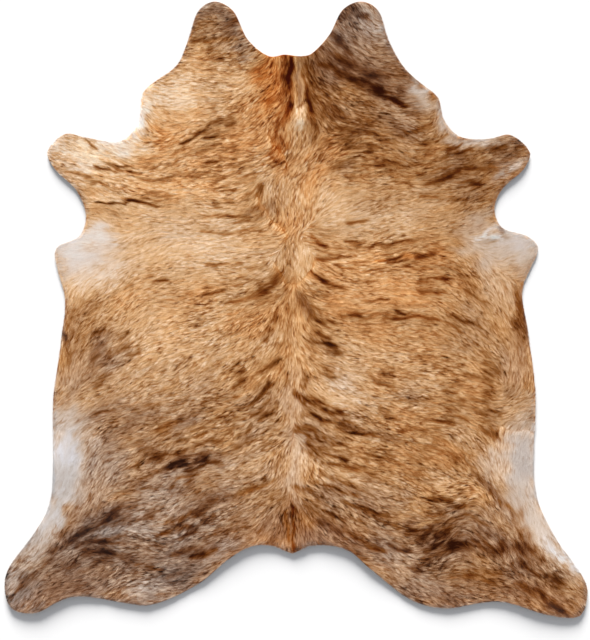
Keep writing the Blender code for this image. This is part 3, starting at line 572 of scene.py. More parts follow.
# Gathered dashes: "count" short strokes spread over one patch along the hair, each about "long" by "wide".
Brush = namedtuple("Brush", "name x y length width rise count long wide tone grey cover")
BRUSHES = (
    Brush("left_crest", 212, 135, 34, 16, 22, 9, 12, 2.2, 88, 0.1, 0.65),
    Brush("left_shoulder", 205, 164, 55, 18, 8, 16, 14, 2.0, 100, -0.1, 0.6),
    Brush("left_forearm", 122, 184, 44, 20, -18, 12, 20, 2.0, 88, 0.0, 0.65),
    Brush("left_arcs", 238, 203, 28, 34, 14, 18, 16, 1.8, 95, 0.0, 0.65),
    Brush("left_ribs", 215, 285, 60, 22, 8, 12, 12, 1.8, 100, -0.1, 0.55),
    Brush("left_loin", 262, 322, 14, 44, 20, 12, 13, 1.9, 88, -0.1, 0.42),
    Brush("left_flank", 100, 350, 30, 34, 50, 14, 12, 3.4, 92, 0.3, 0.5),
    Brush("left_rump", 245, 395, 30, 34, 32, 20, 15, 3, 78, 0.1, 0.6),
    Brush("left_haunch", 190, 455, 64, 26, 22, 20, 18, 3, 76, 0.2, 0.6),
    Brush("left_thigh", 110, 535, 52, 24, 28, 15, 20, 4.4, 72, 0.6, 0.6),
    Brush("left_bay", 190, 535, 44, 26, 18, 13, 18, 3.4, 70, 0.4, 0.55),
    Brush("right_crest", 360, 140, 50, 26, -12, 16, 14, 2.4, 74, 0.1, 0.6),
    Brush("right_shoulder", 425, 165, 62, 24, 4, 22, 17, 2.0, 78, 0.0, 0.6),
    Brush("right_ribs", 385, 268, 72, 34, 0, 34, 15, 1.7, 84, -0.2, 0.65),
    Brush("right_side", 400, 318, 66, 10, -4, 10, 18, 2.0, 80, -0.1, 0.5),
    Brush("right_spine", 320, 340, 13, 44, 0, 22, 10, 2.4, 74, 0.2, 0.5),
    Brush("right_loin", 322, 412, 26, 20, -20, 12, 18, 2.4, 58, 0.15, 0.5),
    Brush("right_rump", 350, 455, 50, 34, -22, 32, 20, 2.2, 76, 0.1, 0.55),
    Brush("right_rump_low", 345, 515, 50, 20, -22, 18, 20, 2.4, 70, 0.2, 0.6),
    Brush("right_belly", 430, 390, 50, 34, -6, 22, 14, 2.2, 92, 0.0, 0.55),
    Brush("right_column", 488, 395, 12, 44, 0, 14, 9, 2.6, 84, 0.2, 0.55),
    Brush("right_thigh", 452, 530, 44, 22, 10, 18, 18, 3.6, 62, 0.2, 0.6),
    Brush("right_leg", 535, 572, 40, 14, -44, 12, 16, 3.4, 60, 0.3, 0.6),
)

# Noise combed along the hair. width is across the hair; "first" and "passes" set
# how far it is smeared along it.
Noise = namedtuple("Noise", "name seed width first passes")
NOISES = (
    Noise("hair", 11, 0.30, 0.8, 1),
    Noise("fleck", 21, 0.45, 0.8, 2),
    Noise("lock", 12, 0.75, 0.8, 3),
    Noise("dash", 13, 1.30, 1.2, 3),
    Noise("fluff", 22, 0.90, 0.0, 0),
    Noise("mottle", 23, 2.6, 2.0, 1),
    Noise("brindle", 14, 2.5, 2.2, 3),
    Noise("cloud", 15, 5.5, 5.0, 2),
    Noise("sway_x", 16, 4.0, 2.0, 1),
    Noise("sway_y", 17, 4.0, 2.0, 1),
    Noise("tint_fine", 18, 1.0, 1.6, 2),
    Noise("tint", 19, 3.2, 3.0, 2),
    Noise("tint_wide", 20, 9.0, 5.0, 1),
)
# The hair's line wanders by this many radians, over patches of these widths.
WANDER, WANDER_BY = ((31, 3.5), (32, 10.0)), 0.11
# How strongly each noise roughens the tone, and how strongly it turns the coat
# rusty or grey.
Rough = namedtuple("Rough", "name rough")
ROUGHNESS = (Rough("hair", 26.0), Rough("fleck", 5.0), Rough("lock", 1.5), Rough("dash", 2.0), Rough("brindle", 7.5), Rough("cloud", 10.5))
GREYNESS = (Rough("tint_fine", 0.008), Rough("tint", 0.045), Rough("tint_wide", 0.07))
# A dark hair is this much darker than those round it, by the share of dark hair,
# and all the dark hair together makes the coat this much darker.
DEPTH, DEPTH_BY_SHARE, STREAKS_WEIGH = 8.0, 90.0, 27.0
TUFT_HEIGHT = 0.00024
CREST = 70.0
PALE_TIPS = 0.0038

# The coat's colour at each tone, as it shows on screen (0 to 255), for hair that
# is neither rusty nor grey, and how far a fully grey coat is from it.
Stain = namedtuple("Stain", "tone red green blue")
STAINS = (
    Stain(0, 44, 17, 5),
    Stain(40, 80, 37, 10),
    Stain(73, 116, 62, 20),
    Stain(92, 136, 82, 35),
    Stain(112, 155, 102, 54),
    Stain(132, 173, 122, 74),
    Stain(151, 191, 143, 93),
    Stain(170, 209, 162, 112),
    Stain(188, 223, 182, 133),
    Stain(206, 236, 199, 155),
    Stain(224, 246, 217, 180),
    Stain(244, 255, 236, 208),
)
GREY_SHIFT = (-25.0, 8.5, 38.0)
PALE_GREEN, DARK_GREEN = 0.06, 0.20  # a grey coat is that much less green for each tone above 110, and more below 100
GREYEST = 1.6  # the greyest and rustiest coat there is, as a share of GREY_SHIFT

def corner_points():
    """The landmarks as one closed loop: down the right half and back up the left."""
    right = [(r.right_out, r.right_up) for r in OUTLINE]
    left = [(-r.left_out, r.left_up) for r in OUTLINE[-2::-1]]
    return [Vector(p) * UNIT for p in right + left]


def rounded(points, step):
    """A centripetal spline through the points, sampled about every step."""
    found = []
    count = len(points)
    for i in range(count):
        p0, p1, p2, p3 = (points[(i + k) % count] for k in (-1, 0, 1, 2))
        t1 = math.sqrt((p1 - p0).length)
        t2 = t1 + math.sqrt((p2 - p1).length)
        t3 = t2 + math.sqrt((p3 - p2).length)
        pieces = max(1, round((p2 - p1).length / step))
        for k in range(pieces):
            t = t1 + (t2 - t1) * k / pieces
            a1 = p0 * ((t1 - t) / t1) + p1 * (t / t1)
            a2 = p1 * ((t2 - t) / (t2 - t1)) + p2 * ((t - t1) / (t2 - t1))
            a3 = p2 * ((t3 - t) / (t3 - t2)) + p3 * ((t - t2) / (t3 - t2))
            b1 = a1 * ((t2 - t) / t2) + a2 * (t / t2)
            b2 = a2 * ((t3 - t) / (t3 - t1)) + a3 * ((t - t1) / (t3 - t1))
            found.append(b1 * ((t2 - t) / (t2 - t1)) + b2 * ((t - t1) / (t2 - t1)))
    return found


def rim_distance(at, rim):
    """How far each point is from the outline, and on which side, inside being positive."""
    a, b = rim, np.roll(rim, -1, axis=0)
    d = b - a
    off = at[:, None, :] - a[None]
    t = ((off * d).sum(2) / (d * d).sum(1)).clip(0, 1)
    near = np.linalg.norm(off - t[:, :, None] * d, axis=2).min(1)
    x, y = at[:, 0][:, None], at[:, 1][:, None]
    crosses = (a[:, 1] > y) != (b[:, 1] > y)
    slope = np.where(np.abs(d[:, 1]) > 1e-12, d[:, 1], 1e-12)
    hits = crosses & (x < a[:, 0] + (y - a[:, 1]) * d[:, 0] / slope)
    return np.where(hits.sum(1) % 2 == 1, near, -near)


def lattice(step, low, high):
    """Staggered rows of points, step apart."""
    rows = np.arange(low[1], high[1], step * math.sqrt(0.75))
    found = []
    for k, y in enumerate(rows):
        xs = np.arange(low[0] + step * 0.5 * (k % 2), high[0], step)
        found.append(np.stack([xs, np.full(len(xs), y)], 1))
    return np.concatenate(found)


def segment_distance(at, start, end):
    """Distance to a segment, and how far along it the nearest point is, 0 to 1."""
    run = end - start
    t = ((at - start) @ run / (run @ run)).clip(0, 1)
    return np.linalg.norm(at - (start + t[:, None] * run), axis=1), t


def relief(at, rim, inward):
    """Height of the flesh side over the floor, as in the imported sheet."""
    height = np.zeros(len(at))
    inward = inward.clip(0, None)
    for r in LIFTS:
        middle = np.array((r.side * r.out, r.up)) * UNIT
        away = np.linalg.norm(at - middle, axis=1) / (r.along * UNIT)
        reach = (1 - inward / (r.inward * UNIT)).clip(0, 1)
        bell = (1 - (away / 1.9) ** 2).clip(0, 1) ** 2
        height = np.maximum(height, r.height * MILLI * bell * reach**1.6)
    for r in FOLDS:
        start, end = np.array((r.out0, r.up0)) * UNIT, np.array((r.out1, r.up1)) * UNIT
        off, along = segment_distance(at, start, end)
        bell = (1 - (off / (1.7 * r.half_width * UNIT)) ** 2).clip(0, 1) ** 2
        rise = (r.height0 + (r.height1 - r.height0) * along) * MILLI
        height = height + rise * bell
    return np.where(height < 2e-5, 0.0, height)


# ------------------------------------------------------- patterns over the hide
def soften(a, s):
    """Gaussian blur, mirrored at the borders."""
    p = int(3 * s + 2)
    b = np.pad(a, p, mode="reflect")
    fy = np.fft.fftfreq(b.shape[0])[:, None]
    fx = np.fft.rfftfreq(b.shape[1])[None]
    g = np.exp(-2 * (math.pi * s) ** 2 * (fx * fx + fy * fy))
    c = np.fft.irfft2(np.fft.rfft2(b) * g, s=b.shape)
    return c[p:-p, p:-p].astype(np.float32)


class Grid:
    """Cells over the photograph's frame, with a margin."""

    def __init__(self, step, x0=-8.0, y0=-8.0, x1=598.0, y1=632.0):
        self.step, self.x0, self.y0 = step, x0, y0
        self.nx, self.ny = int((x1 - x0) / step), int((y1 - y0) / step)
        xs = x0 + step * np.arange(self.nx, dtype=np.float32)
        ys = y0 + step * np.arange(self.ny, dtype=np.float32)
        self.X, self.Y = np.meshgrid(xs, ys)

    def read(self, a, x, y):
        """The value of a at each place, between its cells."""
        u = np.clip((x - self.x0) / self.step, 0, a.shape[1] - 1.001)
        v = np.clip((y - self.y0) / self.step, 0, a.shape[0] - 1.001)
        i, j = u.astype(np.int32), v.astype(np.int32)
        fu, fv = (u - i).astype(np.float32), (v - j).astype(np.float32)
        flat, w = a.ravel(), a.shape[1]
        k = j * w + i
        top = flat[k] * (1 - fu) + flat[k + 1] * fu
        return top * (1 - fv) + (flat[k + w] * (1 - fu) + flat[k + w + 1] * fu) * fv


def lie_lines(g):
    """The hair's line in each cell, as the cosine and sine of its doubled angle."""
    coarse = Grid(4.0)
    c2, s2, w = (np.full_like(coarse.X, 1e-9) for _ in range(3))
    for r in LIE:
        for side, dip in ((-1, r.dip_left), (1, -r.dip_right)):
            d2 = (coarse.X - SPINE_X - side * r.out) ** 2 + (coarse.Y - r.y) ** 2
            k = 1.0 / (d2 + 40.0) ** 2.2
            c2 += k * math.cos(2 * math.radians(dip))
            s2 += k * math.sin(2 * math.radians(dip))
            w += k
    c2, s2 = soften(c2 / w, 1.6), soften(s2 / w, 1.6)
    return coarse.read(c2, g.X, g.Y), coarse.read(s2, g.X, g.Y)


def evened(a):
    """The same pattern with a mean of 0 and a spread of 1."""
    a = a - a.mean()
    return (a / a.std()).astype(np.float32)


def shares(a):
    """A pattern's values as shares from 0 to 1."""
    return (0.5 * (1 + np.tanh(0.79788 * (a + 0.044715 * a**3)))).astype(np.float32)


def eased(low, high, x):
    t = np.clip((x - low) / (high - low), 0, 1)
    return t * t * (3 - 2 * t)


def combed(g, dx, dy, seed, width, first, passes):
    """Noise smeared along the hair: each pass averages three places, 2.6 times as far apart as the last."""
    f = np.random.default_rng(seed).standard_normal(g.X.shape).astype(np.float32)
    f = soften(f, width / g.step)
    gap = first
    for _ in range(passes):
        f = (f + g.read(f, g.X + gap * dx, g.Y + gap * dy) + g.read(f, g.X - gap * dx, g.Y - gap * dy)) / 3
        gap *= 2.6
    return evened(f)


def patch_share(x, y, r):
    a = math.radians(r.rise)
    dx, dy = x - r.x, y - r.y
    u = (dx * math.cos(a) - dy * math.sin(a)) / r.length
    v = (dx * math.sin(a) + dy * math.cos(a)) / r.width
    return np.exp(-0.72 * np.minimum(u * u + v * v, 60) ** 1.35)


def mark_share(x, y, r):
    dx, dy = r.x1 - r.x0, r.y1 - r.y0
    t = np.clip(((x - r.x0) * dx + (y - r.y0) * dy) / (dx * dx + dy * dy), 0, 1)
    off = (x - r.x0 - t * dx) ** 2 + (y - r.y0 - t * dy) ** 2
    return np.exp(-0.8 * np.minimum(off / (0.68 * r.width) ** 2, 60) ** 1.1)


def dashes(g, dx, dy):
    """The strokes of every brush, as marks along the hair."""
    made = []
    for r in BRUSHES:
        rng = np.random.default_rng([24, int(r.x), int(r.y)])
        a = math.radians(r.rise)
        for k in range(r.count):
            far, turn = math.sqrt(rng.uniform()), rng.uniform(0, 2 * math.pi)
            u, v = r.length * far * math.cos(turn), r.width * far * math.sin(turn)
            x = r.x + u * math.cos(a) + v * math.sin(a)
            y = r.y - u * math.sin(a) + v * math.cos(a)
            i, j = int((y - g.y0) / g.step), int((x - g.x0) / g.step)
            half = 0.5 * r.long * rng.uniform(0.5, 1.5)
            hx, hy = half * float(dx[i, j]), half * float(dy[i, j])
            wide, tone = r.wide * rng.uniform(0.7, 1.3), r.tone + rng.normal(0, 10)
            made.append(Mark(r.name, x - hx, y - hy, x + hx, y + hy, wide, tone, r.grey, r.cover * rng.uniform(0.7, 1.15)))
    return tuple(made)


def coat_pattern(g):
    """Tone (0 to 255), greyness (-1 to 1), grain and tufts of the coat in each cell, and the hair's line."""
    c2, s2 = lie_lines(g)
    sway = [soften(np.random.default_rng(seed).standard_normal(g.X.shape).astype(np.float32), width / g.step) for seed, width in WANDER]
    line = 0.5 * np.arctan2(s2, c2) + WANDER_BY * evened(sum(evened(a) for a in sway))
    dx, dy = np.cos(line), -np.sin(line)
    noise = {r.name: combed(g, dx, dy, *r[1:]) for r in NOISES}
    hair, fleck, lock, dash = (noise[k] for k in ("hair", "fleck", "lock", "dash"))
    brindle, cloud, mottle = (noise[k] for k in ("brindle", "cloud", "mottle"))

    # Patches have ragged ends: the hair carries their tone along its own line.
    slip = 1.2 * lock + 1.8 * dash + 2.6 * brindle
    x = g.X + dx * slip + 3.0 * noise["sway_x"]
    y = g.Y + dy * slip + 2.5 * noise["sway_y"]
    tone = np.full_like(g.X, 150.0)
    grey, streaks, grain = np.zeros_like(g.X), np.full_like(g.X, 0.25), np.ones_like(g.X)
    for r in TONES:
        reach = 3.0 * max(r.length, r.width)
        near = (np.abs(x - r.x) < reach) & (np.abs(y - r.y) < reach)
        w = r.cover * patch_share(x[near], y[near], r)
        for field, value in ((tone, r.tone), (grey, r.grey), (streaks, r.streaks), (grain, r.grain)):
            field[near] += w * (value - field[near])

    grey *= 0.4 + 0.6 * np.minimum(1.05, tone / 190.0)
    plain = soften(tone, 2.0 / g.step)
    # Dark hairs gather in thin lines, dashes and bands, deeper where the table says so.
    fine = evened(0.65 * hair + 0.60 * fleck + 0.55 * lock + 0.35 * dash + 0.25 * noise["fluff"])
    gathered = evened(0.40 * fine + 0.36 * dash + 1.0 * brindle + 0.60 * mottle + 1.05 * cloud)
    gathered = 0.40 * (gathered + np.sqrt(gathered * gathered + 3.0))
    tone = tone - STREAKS_WEIGH * streaks - (DEPTH + DEPTH_BY_SHARE * streaks) * (gathered - gathered.mean())
    # Hairs lie in small tufts, and the dark ones sink between them.
    tuft = -TUFT_HEIGHT * grain * fine
    rough = sum(r.rough * noise[r.name] for r in ROUGHNESS)
    # Its troughs are deeper than its crests are high.
    tone += grain * CREST * (1.08 - np.exp(-rough / CREST))
    grey = soften(grey, 2.0) + grain * sum(r.rough * noise[r.name] for r in GREYNESS)
    for r in MARKS + dashes(g, dx, dy):
        margin = 3 * r.width + 12
        low_x, high_x = min(r.x0, r.x1) - margin, max(r.x0, r.x1) + margin
        low_y, high_y = min(r.y0, r.y1) - margin, max(r.y0, r.y1) + margin
        j0, j1 = (max(0, int((v - g.x0) / g.step)) for v in (low_x, high_x))
        i0, i1 = (max(0, int((v - g.y0) / g.step)) for v in (low_y, high_y))
        at = np.s_[i0:i1, j0:j1]
        mx = g.X[at] + 0.45 * (x[at] - g.X[at])
        my = g.Y[at] + 0.45 * (y[at] - g.Y[at])
        w = r.cover * mark_share(mx, my, r)
        # The mark is dark hairs among the others, closest together along its middle.
        w = w * np.clip(0.92 + 0.30 * fine[at] + 0.18 * dash[at] + 0.12 * mottle[at], 0.0, 1.3)
        tone[at] += w * (r.tone - 16 - 0.75 * plain[at] - 0.25 * tone[at])
        grey[at] += w * (0.75 * r.grey - grey[at])
    # In a tuft the lighter hair tips are the paler ones, and the greyest hairs are
    # neither the lightest nor the darkest.
    off = np.clip((tone - plain) / 60.0, -1.2, 1.2)
    grey *= 1 - 0.35 * np.maximum(off, 0) - 0.45 * np.maximum(-off - 0.2, 0)
    grey += PALE_TIPS * np.clip(tone - soften(tone, 4.0 / g.step), -30, 30)
    return tone, grey, grain, tuft, dx, dy


# ------------------------------------------------------------------- the pieces
def places(at):
    """Metres on the floor to places in the photograph's frame."""
    return at[:, 0] * PLACES_A_METRE + MIDDLE_X, MIDDLE_Y - at[:, 1] * PLACES_A_METRE


def in_chunks(function, at, size=20000):
    return np.concatenate([function(at[i : i + size]) for i in range(0, len(at), size)])


def triangle_mesh(name, points, faces):
    mesh = bpy.data.meshes.new(name)
    mesh.vertices.add(len(points))
    mesh.vertices.foreach_set("co", np.ascontiguousarray(points, np.float32).ravel())
    mesh.loops.add(faces.size)
    mesh.loops.foreach_set("vertex_index", np.ascontiguousarray(faces, np.int32).ravel())
    mesh.polygons.add(len(faces))
    mesh.polygons.foreach_set("loop_start", np.arange(0, faces.size, 3, dtype=np.int32))
    mesh.update(calc_edges=True)
    return mesh


def give(mesh, name, values):
    attribute = mesh.attributes.new(name, "FLOAT", "POINT")
    attribute.data.foreach_set("value", np.ascontiguousarray(values, np.float32))


def add_piece(name, mesh):
    ob = bpy.data.objects.new(name, mesh)
    bpy.context.scene.collection.objects.link(ob)
    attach(ob, "root")
    return ob


class Hide:
    """The trim, the relief and the coat's pattern, to be read anywhere on the hide."""

    def __init__(self):
        self.rim = np.array([tuple(p) for p in rounded(corner_points(), RIM_STEP)])
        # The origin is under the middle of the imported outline's box.
        drafted = np.array([tuple(p) for p in rounded(corner_points(), 0.030)])
        self.middle = (drafted.min(0) + drafted.max(0)) / 2
        self.coarse = Grid(1.0)
        px = np.stack([self.coarse.X.ravel(), self.coarse.Y.ravel()], 1).astype(float)
        at = np.stack([(px[:, 0] - MIDDLE_X) / PLACES_A_METRE, (MIDDLE_Y - px[:, 1]) / PLACES_A_METRE], 1)
        drafting = at + self.middle
        inward = in_chunks(lambda a: rim_distance(a, drafted), drafting)
        shape = self.coarse.X.shape
        self.inward = inward.reshape(shape).astype(np.float32)
        self.height = relief(drafting, drafted, inward).reshape(shape).astype(np.float32)
        self.fine = Grid(CELL)
        self.tone, self.grey, self.grain, self.tuft, self.dx, self.dy = coat_pattern(self.fine)
        # Lifted rims catch more light than the flat body, so their coat is drawn darker.
        rise = -np.gradient(soften(self.height, 1.2), axis=0) * PLACES_A_METRE
        rise = self.coarse.read(rise.astype(np.float32), self.fine.X, self.fine.Y)
        facing = np.clip(1 - rise / math.tan(math.radians(KEY_RISE)), 0.3, 2.5)
        self.tone = self.tone * (0.32 + 0.68 * facing) ** -RIM_SHADE

    def rim_at(self, step):
        """The trim's points, about a step apart."""
        start, run = self.rim, np.roll(self.rim, -1, axis=0) - self.rim
        shares = np.arange(0, 1, step / RIM_STEP)
        return (start[:, None] + run[:, None] * shares[None, :, None]).reshape(-1, 2) - self.middle

    def top(self, at):
        """The fur bed's height, and the distance in from the trim."""
        x, y = places(at)
        inward = self.coarse.read(self.inward, x, y)
        height = self.coarse.read(self.height, x, y)
        return height + LEATHER + FUR_BED * round_over(inward), inward

    def coat_top(self, at):
        """The same for the lying hair, which carries on straight over the trim."""
        top, inward = self.top(at)
        return top + FUR_BED * 0.7 * (1 - round_over(inward)), inward


RIM_REACH, RIM_PAINTED_SHADE, RIM_SHADE_GREY = 0.0050, 0.05, 0.35
RIM_HAIR_STEP, RIM_HAIR_ROWS, RIM_HAIR_REACH = 0.0016, 8, 0.009


def round_over(inward):
    t = (1 - inward / EDGE_ROUND).clip(0, 1)
    return np.sqrt(np.maximum(1 - t * t, 0))


def skin_points(hide):
    """Points inside the trim: rows over the body, closer ones by the folds and along the trim."""
    low, high = hide.rim.min(0), hide.rim.max(0)
    coarse, fine = lattice(FIELD_STEP, low, high), lattice(FOLD_STEP, low, high)

    def by_fold(at, reach):
        close = np.zeros(len(at), bool)
        for r in FOLDS:
            start, end = np.array((r.out0, r.up0)) * UNIT, np.array((r.out1, r.up1)) * UNIT
            close |= segment_distance(at, start, end)[0] < reach
        return close

    kept = [coarse[~by_fold(coarse, 0.055)], fine[by_fold(fine, 0.050)]]
    found = []
    for at, room in zip(kept, (0.0115, 0.0095)):
        x, y = places(at - hide.middle)
        found.append(at[hide.coarse.read(hide.inward, x, y) > room])
    # Two rows just inside the trim let its edge round over.
    run = np.roll(hide.rim, -1, axis=0) - np.roll(hide.rim, 1, axis=0)
    normal = np.stack([run[:, 1], -run[:, 0]], 1) / np.linalg.norm(run, axis=1)[:, None]
    probe = hide.rim + 0.003 * normal - hide.middle
    x, y = places(probe)
    if hide.coarse.read(hide.inward, x, y).mean() < 0:
        normal = -normal
    for depth, every in ((0.0022, 1), (0.0062, 1)):
        row = hide.rim + depth * normal
        x, y = places(row - hide.middle)
        row = row[hide.coarse.read(hide.inward, x, y) > depth * 0.8]
        found.append(row[::every])
    return np.concatenate(found)


def make_skin(hide):
    """One closed sheet: fur bed above, suede below, and the cut edge between them."""
    flat = np.concatenate([hide.rim, skin_points(hide)])
    ring = list(range(len(hide.rim)))
    points, _, faces, _, _, _ = delaunay_2d_cdt([Vector(p) for p in flat], [], [ring], 1, 1e-7)
    at = np.array([tuple(p) for p in points]) 
    faces = np.array([f for f in faces if len(f) == 3], np.int32)
    a, b, c = (at[faces[:, k]] for k in range(3))
    area = (b[:, 0] - a[:, 0]) * (c[:, 1] - a[:, 1]) - (c[:, 0] - a[:, 0]) * (b[:, 1] - a[:, 1])
    faces[area < 0] = faces[area < 0][:, ::-1]
    here = at - hide.middle
    x, y = places(here)
    drafted = np.array([tuple(p) for p in rounded(corner_points(), 0.030)])
    inward = in_chunks(lambda q: rim_distance(q, drafted), at).clip(0, None)
    height = relief(at, drafted, inward)
    edges = np.concatenate([faces[:, [0, 1]], faces[:, [1, 2]], faces[:, [2, 0]]])
    both = set(map(tuple, edges.tolist()))
    border = np.array([e for e in edges.tolist() if (e[1], e[0]) not in both], np.int32)
    on_rim = np.zeros(len(at), bool)
    on_rim[border.ravel()] = True
    bed = FUR_BED * round_over(np.where(on_rim, 0.0, inward))
    n = len(at)
    top = np.column_stack([here, height + LEATHER + bed])
    under = np.column_stack([here, height])
    rim = np.concatenate([np.column_stack([border[:, 1], border[:, 0], border[:, 0] + n]), np.column_stack([border[:, 1], border[:, 0] + n, border[:, 1] + n])])
    everything = np.concatenate([faces, faces[:, ::-1] + n, rim])
    mesh = triangle_mesh("hide_skin", np.concatenate([top, under]), everything)
    slots = np.concatenate([np.zeros(len(faces)), np.ones(len(faces)), np.full(len(rim), 2)]).astype(np.int32)
    mesh.polygons.foreach_set("material_index", slots)
    tone = hide.fine.read(hide.tone, x, y) / 255.0
    grey = hide.fine.read(hide.grey, x, y)
    give(mesh, "tone", np.tile(tone, 2))
    give(mesh, "grey", np.tile(grey, 2))
    mesh.shade_smooth()
    mesh.set_sharp_from_angle(angle=math.radians(55))
    return add_piece("hide_skin", mesh), float(np.abs(area).sum() / 2)


def hair_roots(hide, rng, count, area):
    """Staggered rows of roots over the hide, each a little out of place."""
    step = math.sqrt(area / count / math.sqrt(0.75))
    low, high = hide.rim.min(0) - hide.middle, hide.rim.max(0) - hide.middle
    at = lattice(step, low, high)
    at = at + rng.uniform(-0.48, 0.48, at.shape) * step
    # More of them stand close behind the trim, where hairs are cut short.
    rim = np.concatenate([hide.rim_at(RIM_HAIR_STEP) for _ in range(RIM_HAIR_ROWS)])
    rim = rim + rng.uniform(-1, 1, rim.shape) * RIM_HAIR_REACH
    at = np.concatenate([at, rim])
    return at[hide.top(at)[1] > 0.0008]


def make_coat(hide, area):
    rng = np.random.default_rng(41)
    at = hair_roots(hide, rng, HAIRS // (1), area)
    n = len(at)
    x, y = places(at)
    dx, dy = hide.fine.read(hide.dx, x, y), -hide.fine.read(hide.dy, x, y)
    # The line becomes a direction: out from the spine and towards the tail, but
    # towards the head in the fan above the whorl.
    out = np.clip((x - SPINE_X) / 14.0, -1, 1)
    tail = np.where((y > 125) & (y < 284) & (np.abs(x - SPINE_X) < 45), -1.0, 1.0)
    sense = np.where(dx * out - 0.5 * tail * dy < 0, -1.0, 1.0)
    grain = hide.fine.read(hide.grain, x, y)
    turn = rng.normal(0, 1, n) * np.radians(6 + 3.5 * grain * grain)
    dx, dy = sense * dx, sense * dy
    size = np.hypot(dx, dy) + 1e-9
    dx, dy = dx / size, dy / size
    dx, dy = dx * np.cos(turn) - dy * np.sin(turn), dx * np.sin(turn) + dy * np.cos(turn)
    length = HAIR_LENGTH * rng.uniform(0.65, 1.35, n)
    width = HAIR_WIDTH * rng.uniform(0.6, 1.4, n)
    root_top, root_in = hide.coat_top(at)
    tip = at + np.stack([dx, dy], 1) * length[:, None]
    tip_in = hide.top(tip)[1]
    over = rng.uniform(0.0, 1.0, n) * OVERHANG
    past = tip_in < -over
    cut = np.where(past, (root_in + over) / np.maximum(root_in - tip_in, 1e-6), 1.0).clip(0.15, 1)
    length = length * cut
    tip = at + np.stack([dx, dy], 1) * length[:, None]
    tip_top, tip_in = hide.coat_top(tip)
    lift = HAIR_LIFT * rng.uniform(0.35, 1.3, n) * cut
    lift = lift * np.clip(0.35 + tip_in / 0.02, 0.2, 1)
    grain = np.clip(grain, 0.2, 1.2)
    roll = rng.normal(0, ROLL, n) * width * grain
    side = np.stack([-dy, dx], 1) * (0.5 * width)[:, None]
    points = np.empty((n, 3, 3), np.float32)
    points[:, 0, :2], points[:, 1, :2], points[:, 2, :2] = at - side, at + side, tip
    for k, (where, z) in enumerate(((at - side, root_top - roll), (at + side, root_top + roll), (tip, tip_top + lift))):
        points[:, k, 2] = z + hide.fine.read(hide.tuft, *places(where))
    middle = at + np.stack([dx, dy], 1) * (0.45 * length)[:, None]
    mx, my = places(middle)
    tone = hide.fine.read(hide.tone, mx, my) / 255.0
    grey = hide.fine.read(hide.grey, mx, my)
    # Hair ends at the trim lie in the bright floor's own light, so they are drawn darker and greyer: painted shade
    # against that light.
    near = np.exp(-((np.maximum(tip_in, 0) / RIM_REACH) ** 2))
    tone, grey = tone - RIM_PAINTED_SHADE * near, grey + RIM_SHADE_GREY * near
    strand = STRAND_SPREAD * grain * rng.uniform(-0.5, 0.5, n)
    order = np.argsort(at[:, 1])
    pieces = []
    for name, chosen in zip(COAT_PIECES, np.array_split(order, len(COAT_PIECES))):
        k = len(chosen)
        mesh = triangle_mesh(name, points[chosen].reshape(-1, 3), np.arange(3 * k, dtype=np.int32).reshape(-1, 3))
        give(mesh, "tone", np.repeat(tone[chosen], 3))
        give(mesh, "grey", np.repeat(grey[chosen], 3))
        give(mesh, "strand", np.repeat(strand[chosen], 3))
        give(mesh, "along", np.tile([0.0, 0.0, 1.0], k))
        pieces.append(add_piece(name, mesh))
    return pieces


COAT_PIECES = ("coat_hind_legs", "coat_rump", "coat_loin", "coat_back", "coat_shoulders_and_neck")


# ---------------------------------------------------------------- the materials
def linear(value):
    v = max(0.0, min(255.0, value)) / 255.0
    return v / 12.92 if v <= 0.04045 else ((v + 0.055) / 1.055) ** 2.4


def stained(shade, grey):
    red, green, blue = GREY_SHIFT
    green += DARK_GREEN * max(0.0, 100.0 - shade.tone) - PALE_GREEN * max(0.0, shade.tone - 110.0)
    return tuple(linear(c + grey * s) for c, s in zip(shade[1:], (red, green, blue))) + (1.0,)


def node(tree, kind, x, y, **settings):
    made = tree.nodes.new(kind)
    made.location = (x, y)
    for name, value in settings.items():
        setattr(made, name, value)
    return made


def maths(tree, operation, x, y, a, b=None, c=None, clamp=False):
    made = node(tree, "ShaderNodeMath", x, y, operation=operation, use_clamp=clamp)
    for k, value in enumerate((a, b, c)):
        if value is None:
            continue
        if isinstance(value, (int, float)):
            made.inputs[k].default_value = value
        else:
            tree.links.new(value, made.inputs[k])
    return made.outputs[0]


def start_material(name):
    mat = bpy.data.materials.new(name)
    mat.use_nodes = True
    tree = mat.node_tree
    return mat, tree, tree.nodes["Principled BSDF"]


def noise_texture(tree, x, y, scale, detail, rough=0.6, stretch=None):
    texture = node(tree, "ShaderNodeTexNoise", x, y)
    texture.inputs["Scale"].default_value = scale
    texture.inputs["Detail"].default_value = detail
    texture.inputs["Roughness"].default_value = rough
    place = node(tree, "ShaderNodeTexCoord", x - 400, y)
    source = place.outputs["Object"]
    if stretch:
        mapping = node(tree, "ShaderNodeMapping", x - 200, y)
        mapping.inputs["Scale"].default_value = stretch
        tree.links.new(source, mapping.inputs["Vector"])
        source = mapping.outputs[0]
    tree.links.new(source, texture.inputs["Vector"])
    return texture.outputs["Fac"]


def stain_ramp(tree, x, y, tone, grey):
    ramp = node(tree, "ShaderNodeValToRGB", x, y)
    band = ramp.color_ramp
    while len(band.elements) < len(STAINS):
        band.elements.new(0.5)
    for element, shade in zip(band.elements, STAINS):
        element.position = shade.tone / 255.0
        element.color = stained(shade, grey)
    tree.links.new(tone, ramp.inputs[0])
    return ramp.outputs[0]


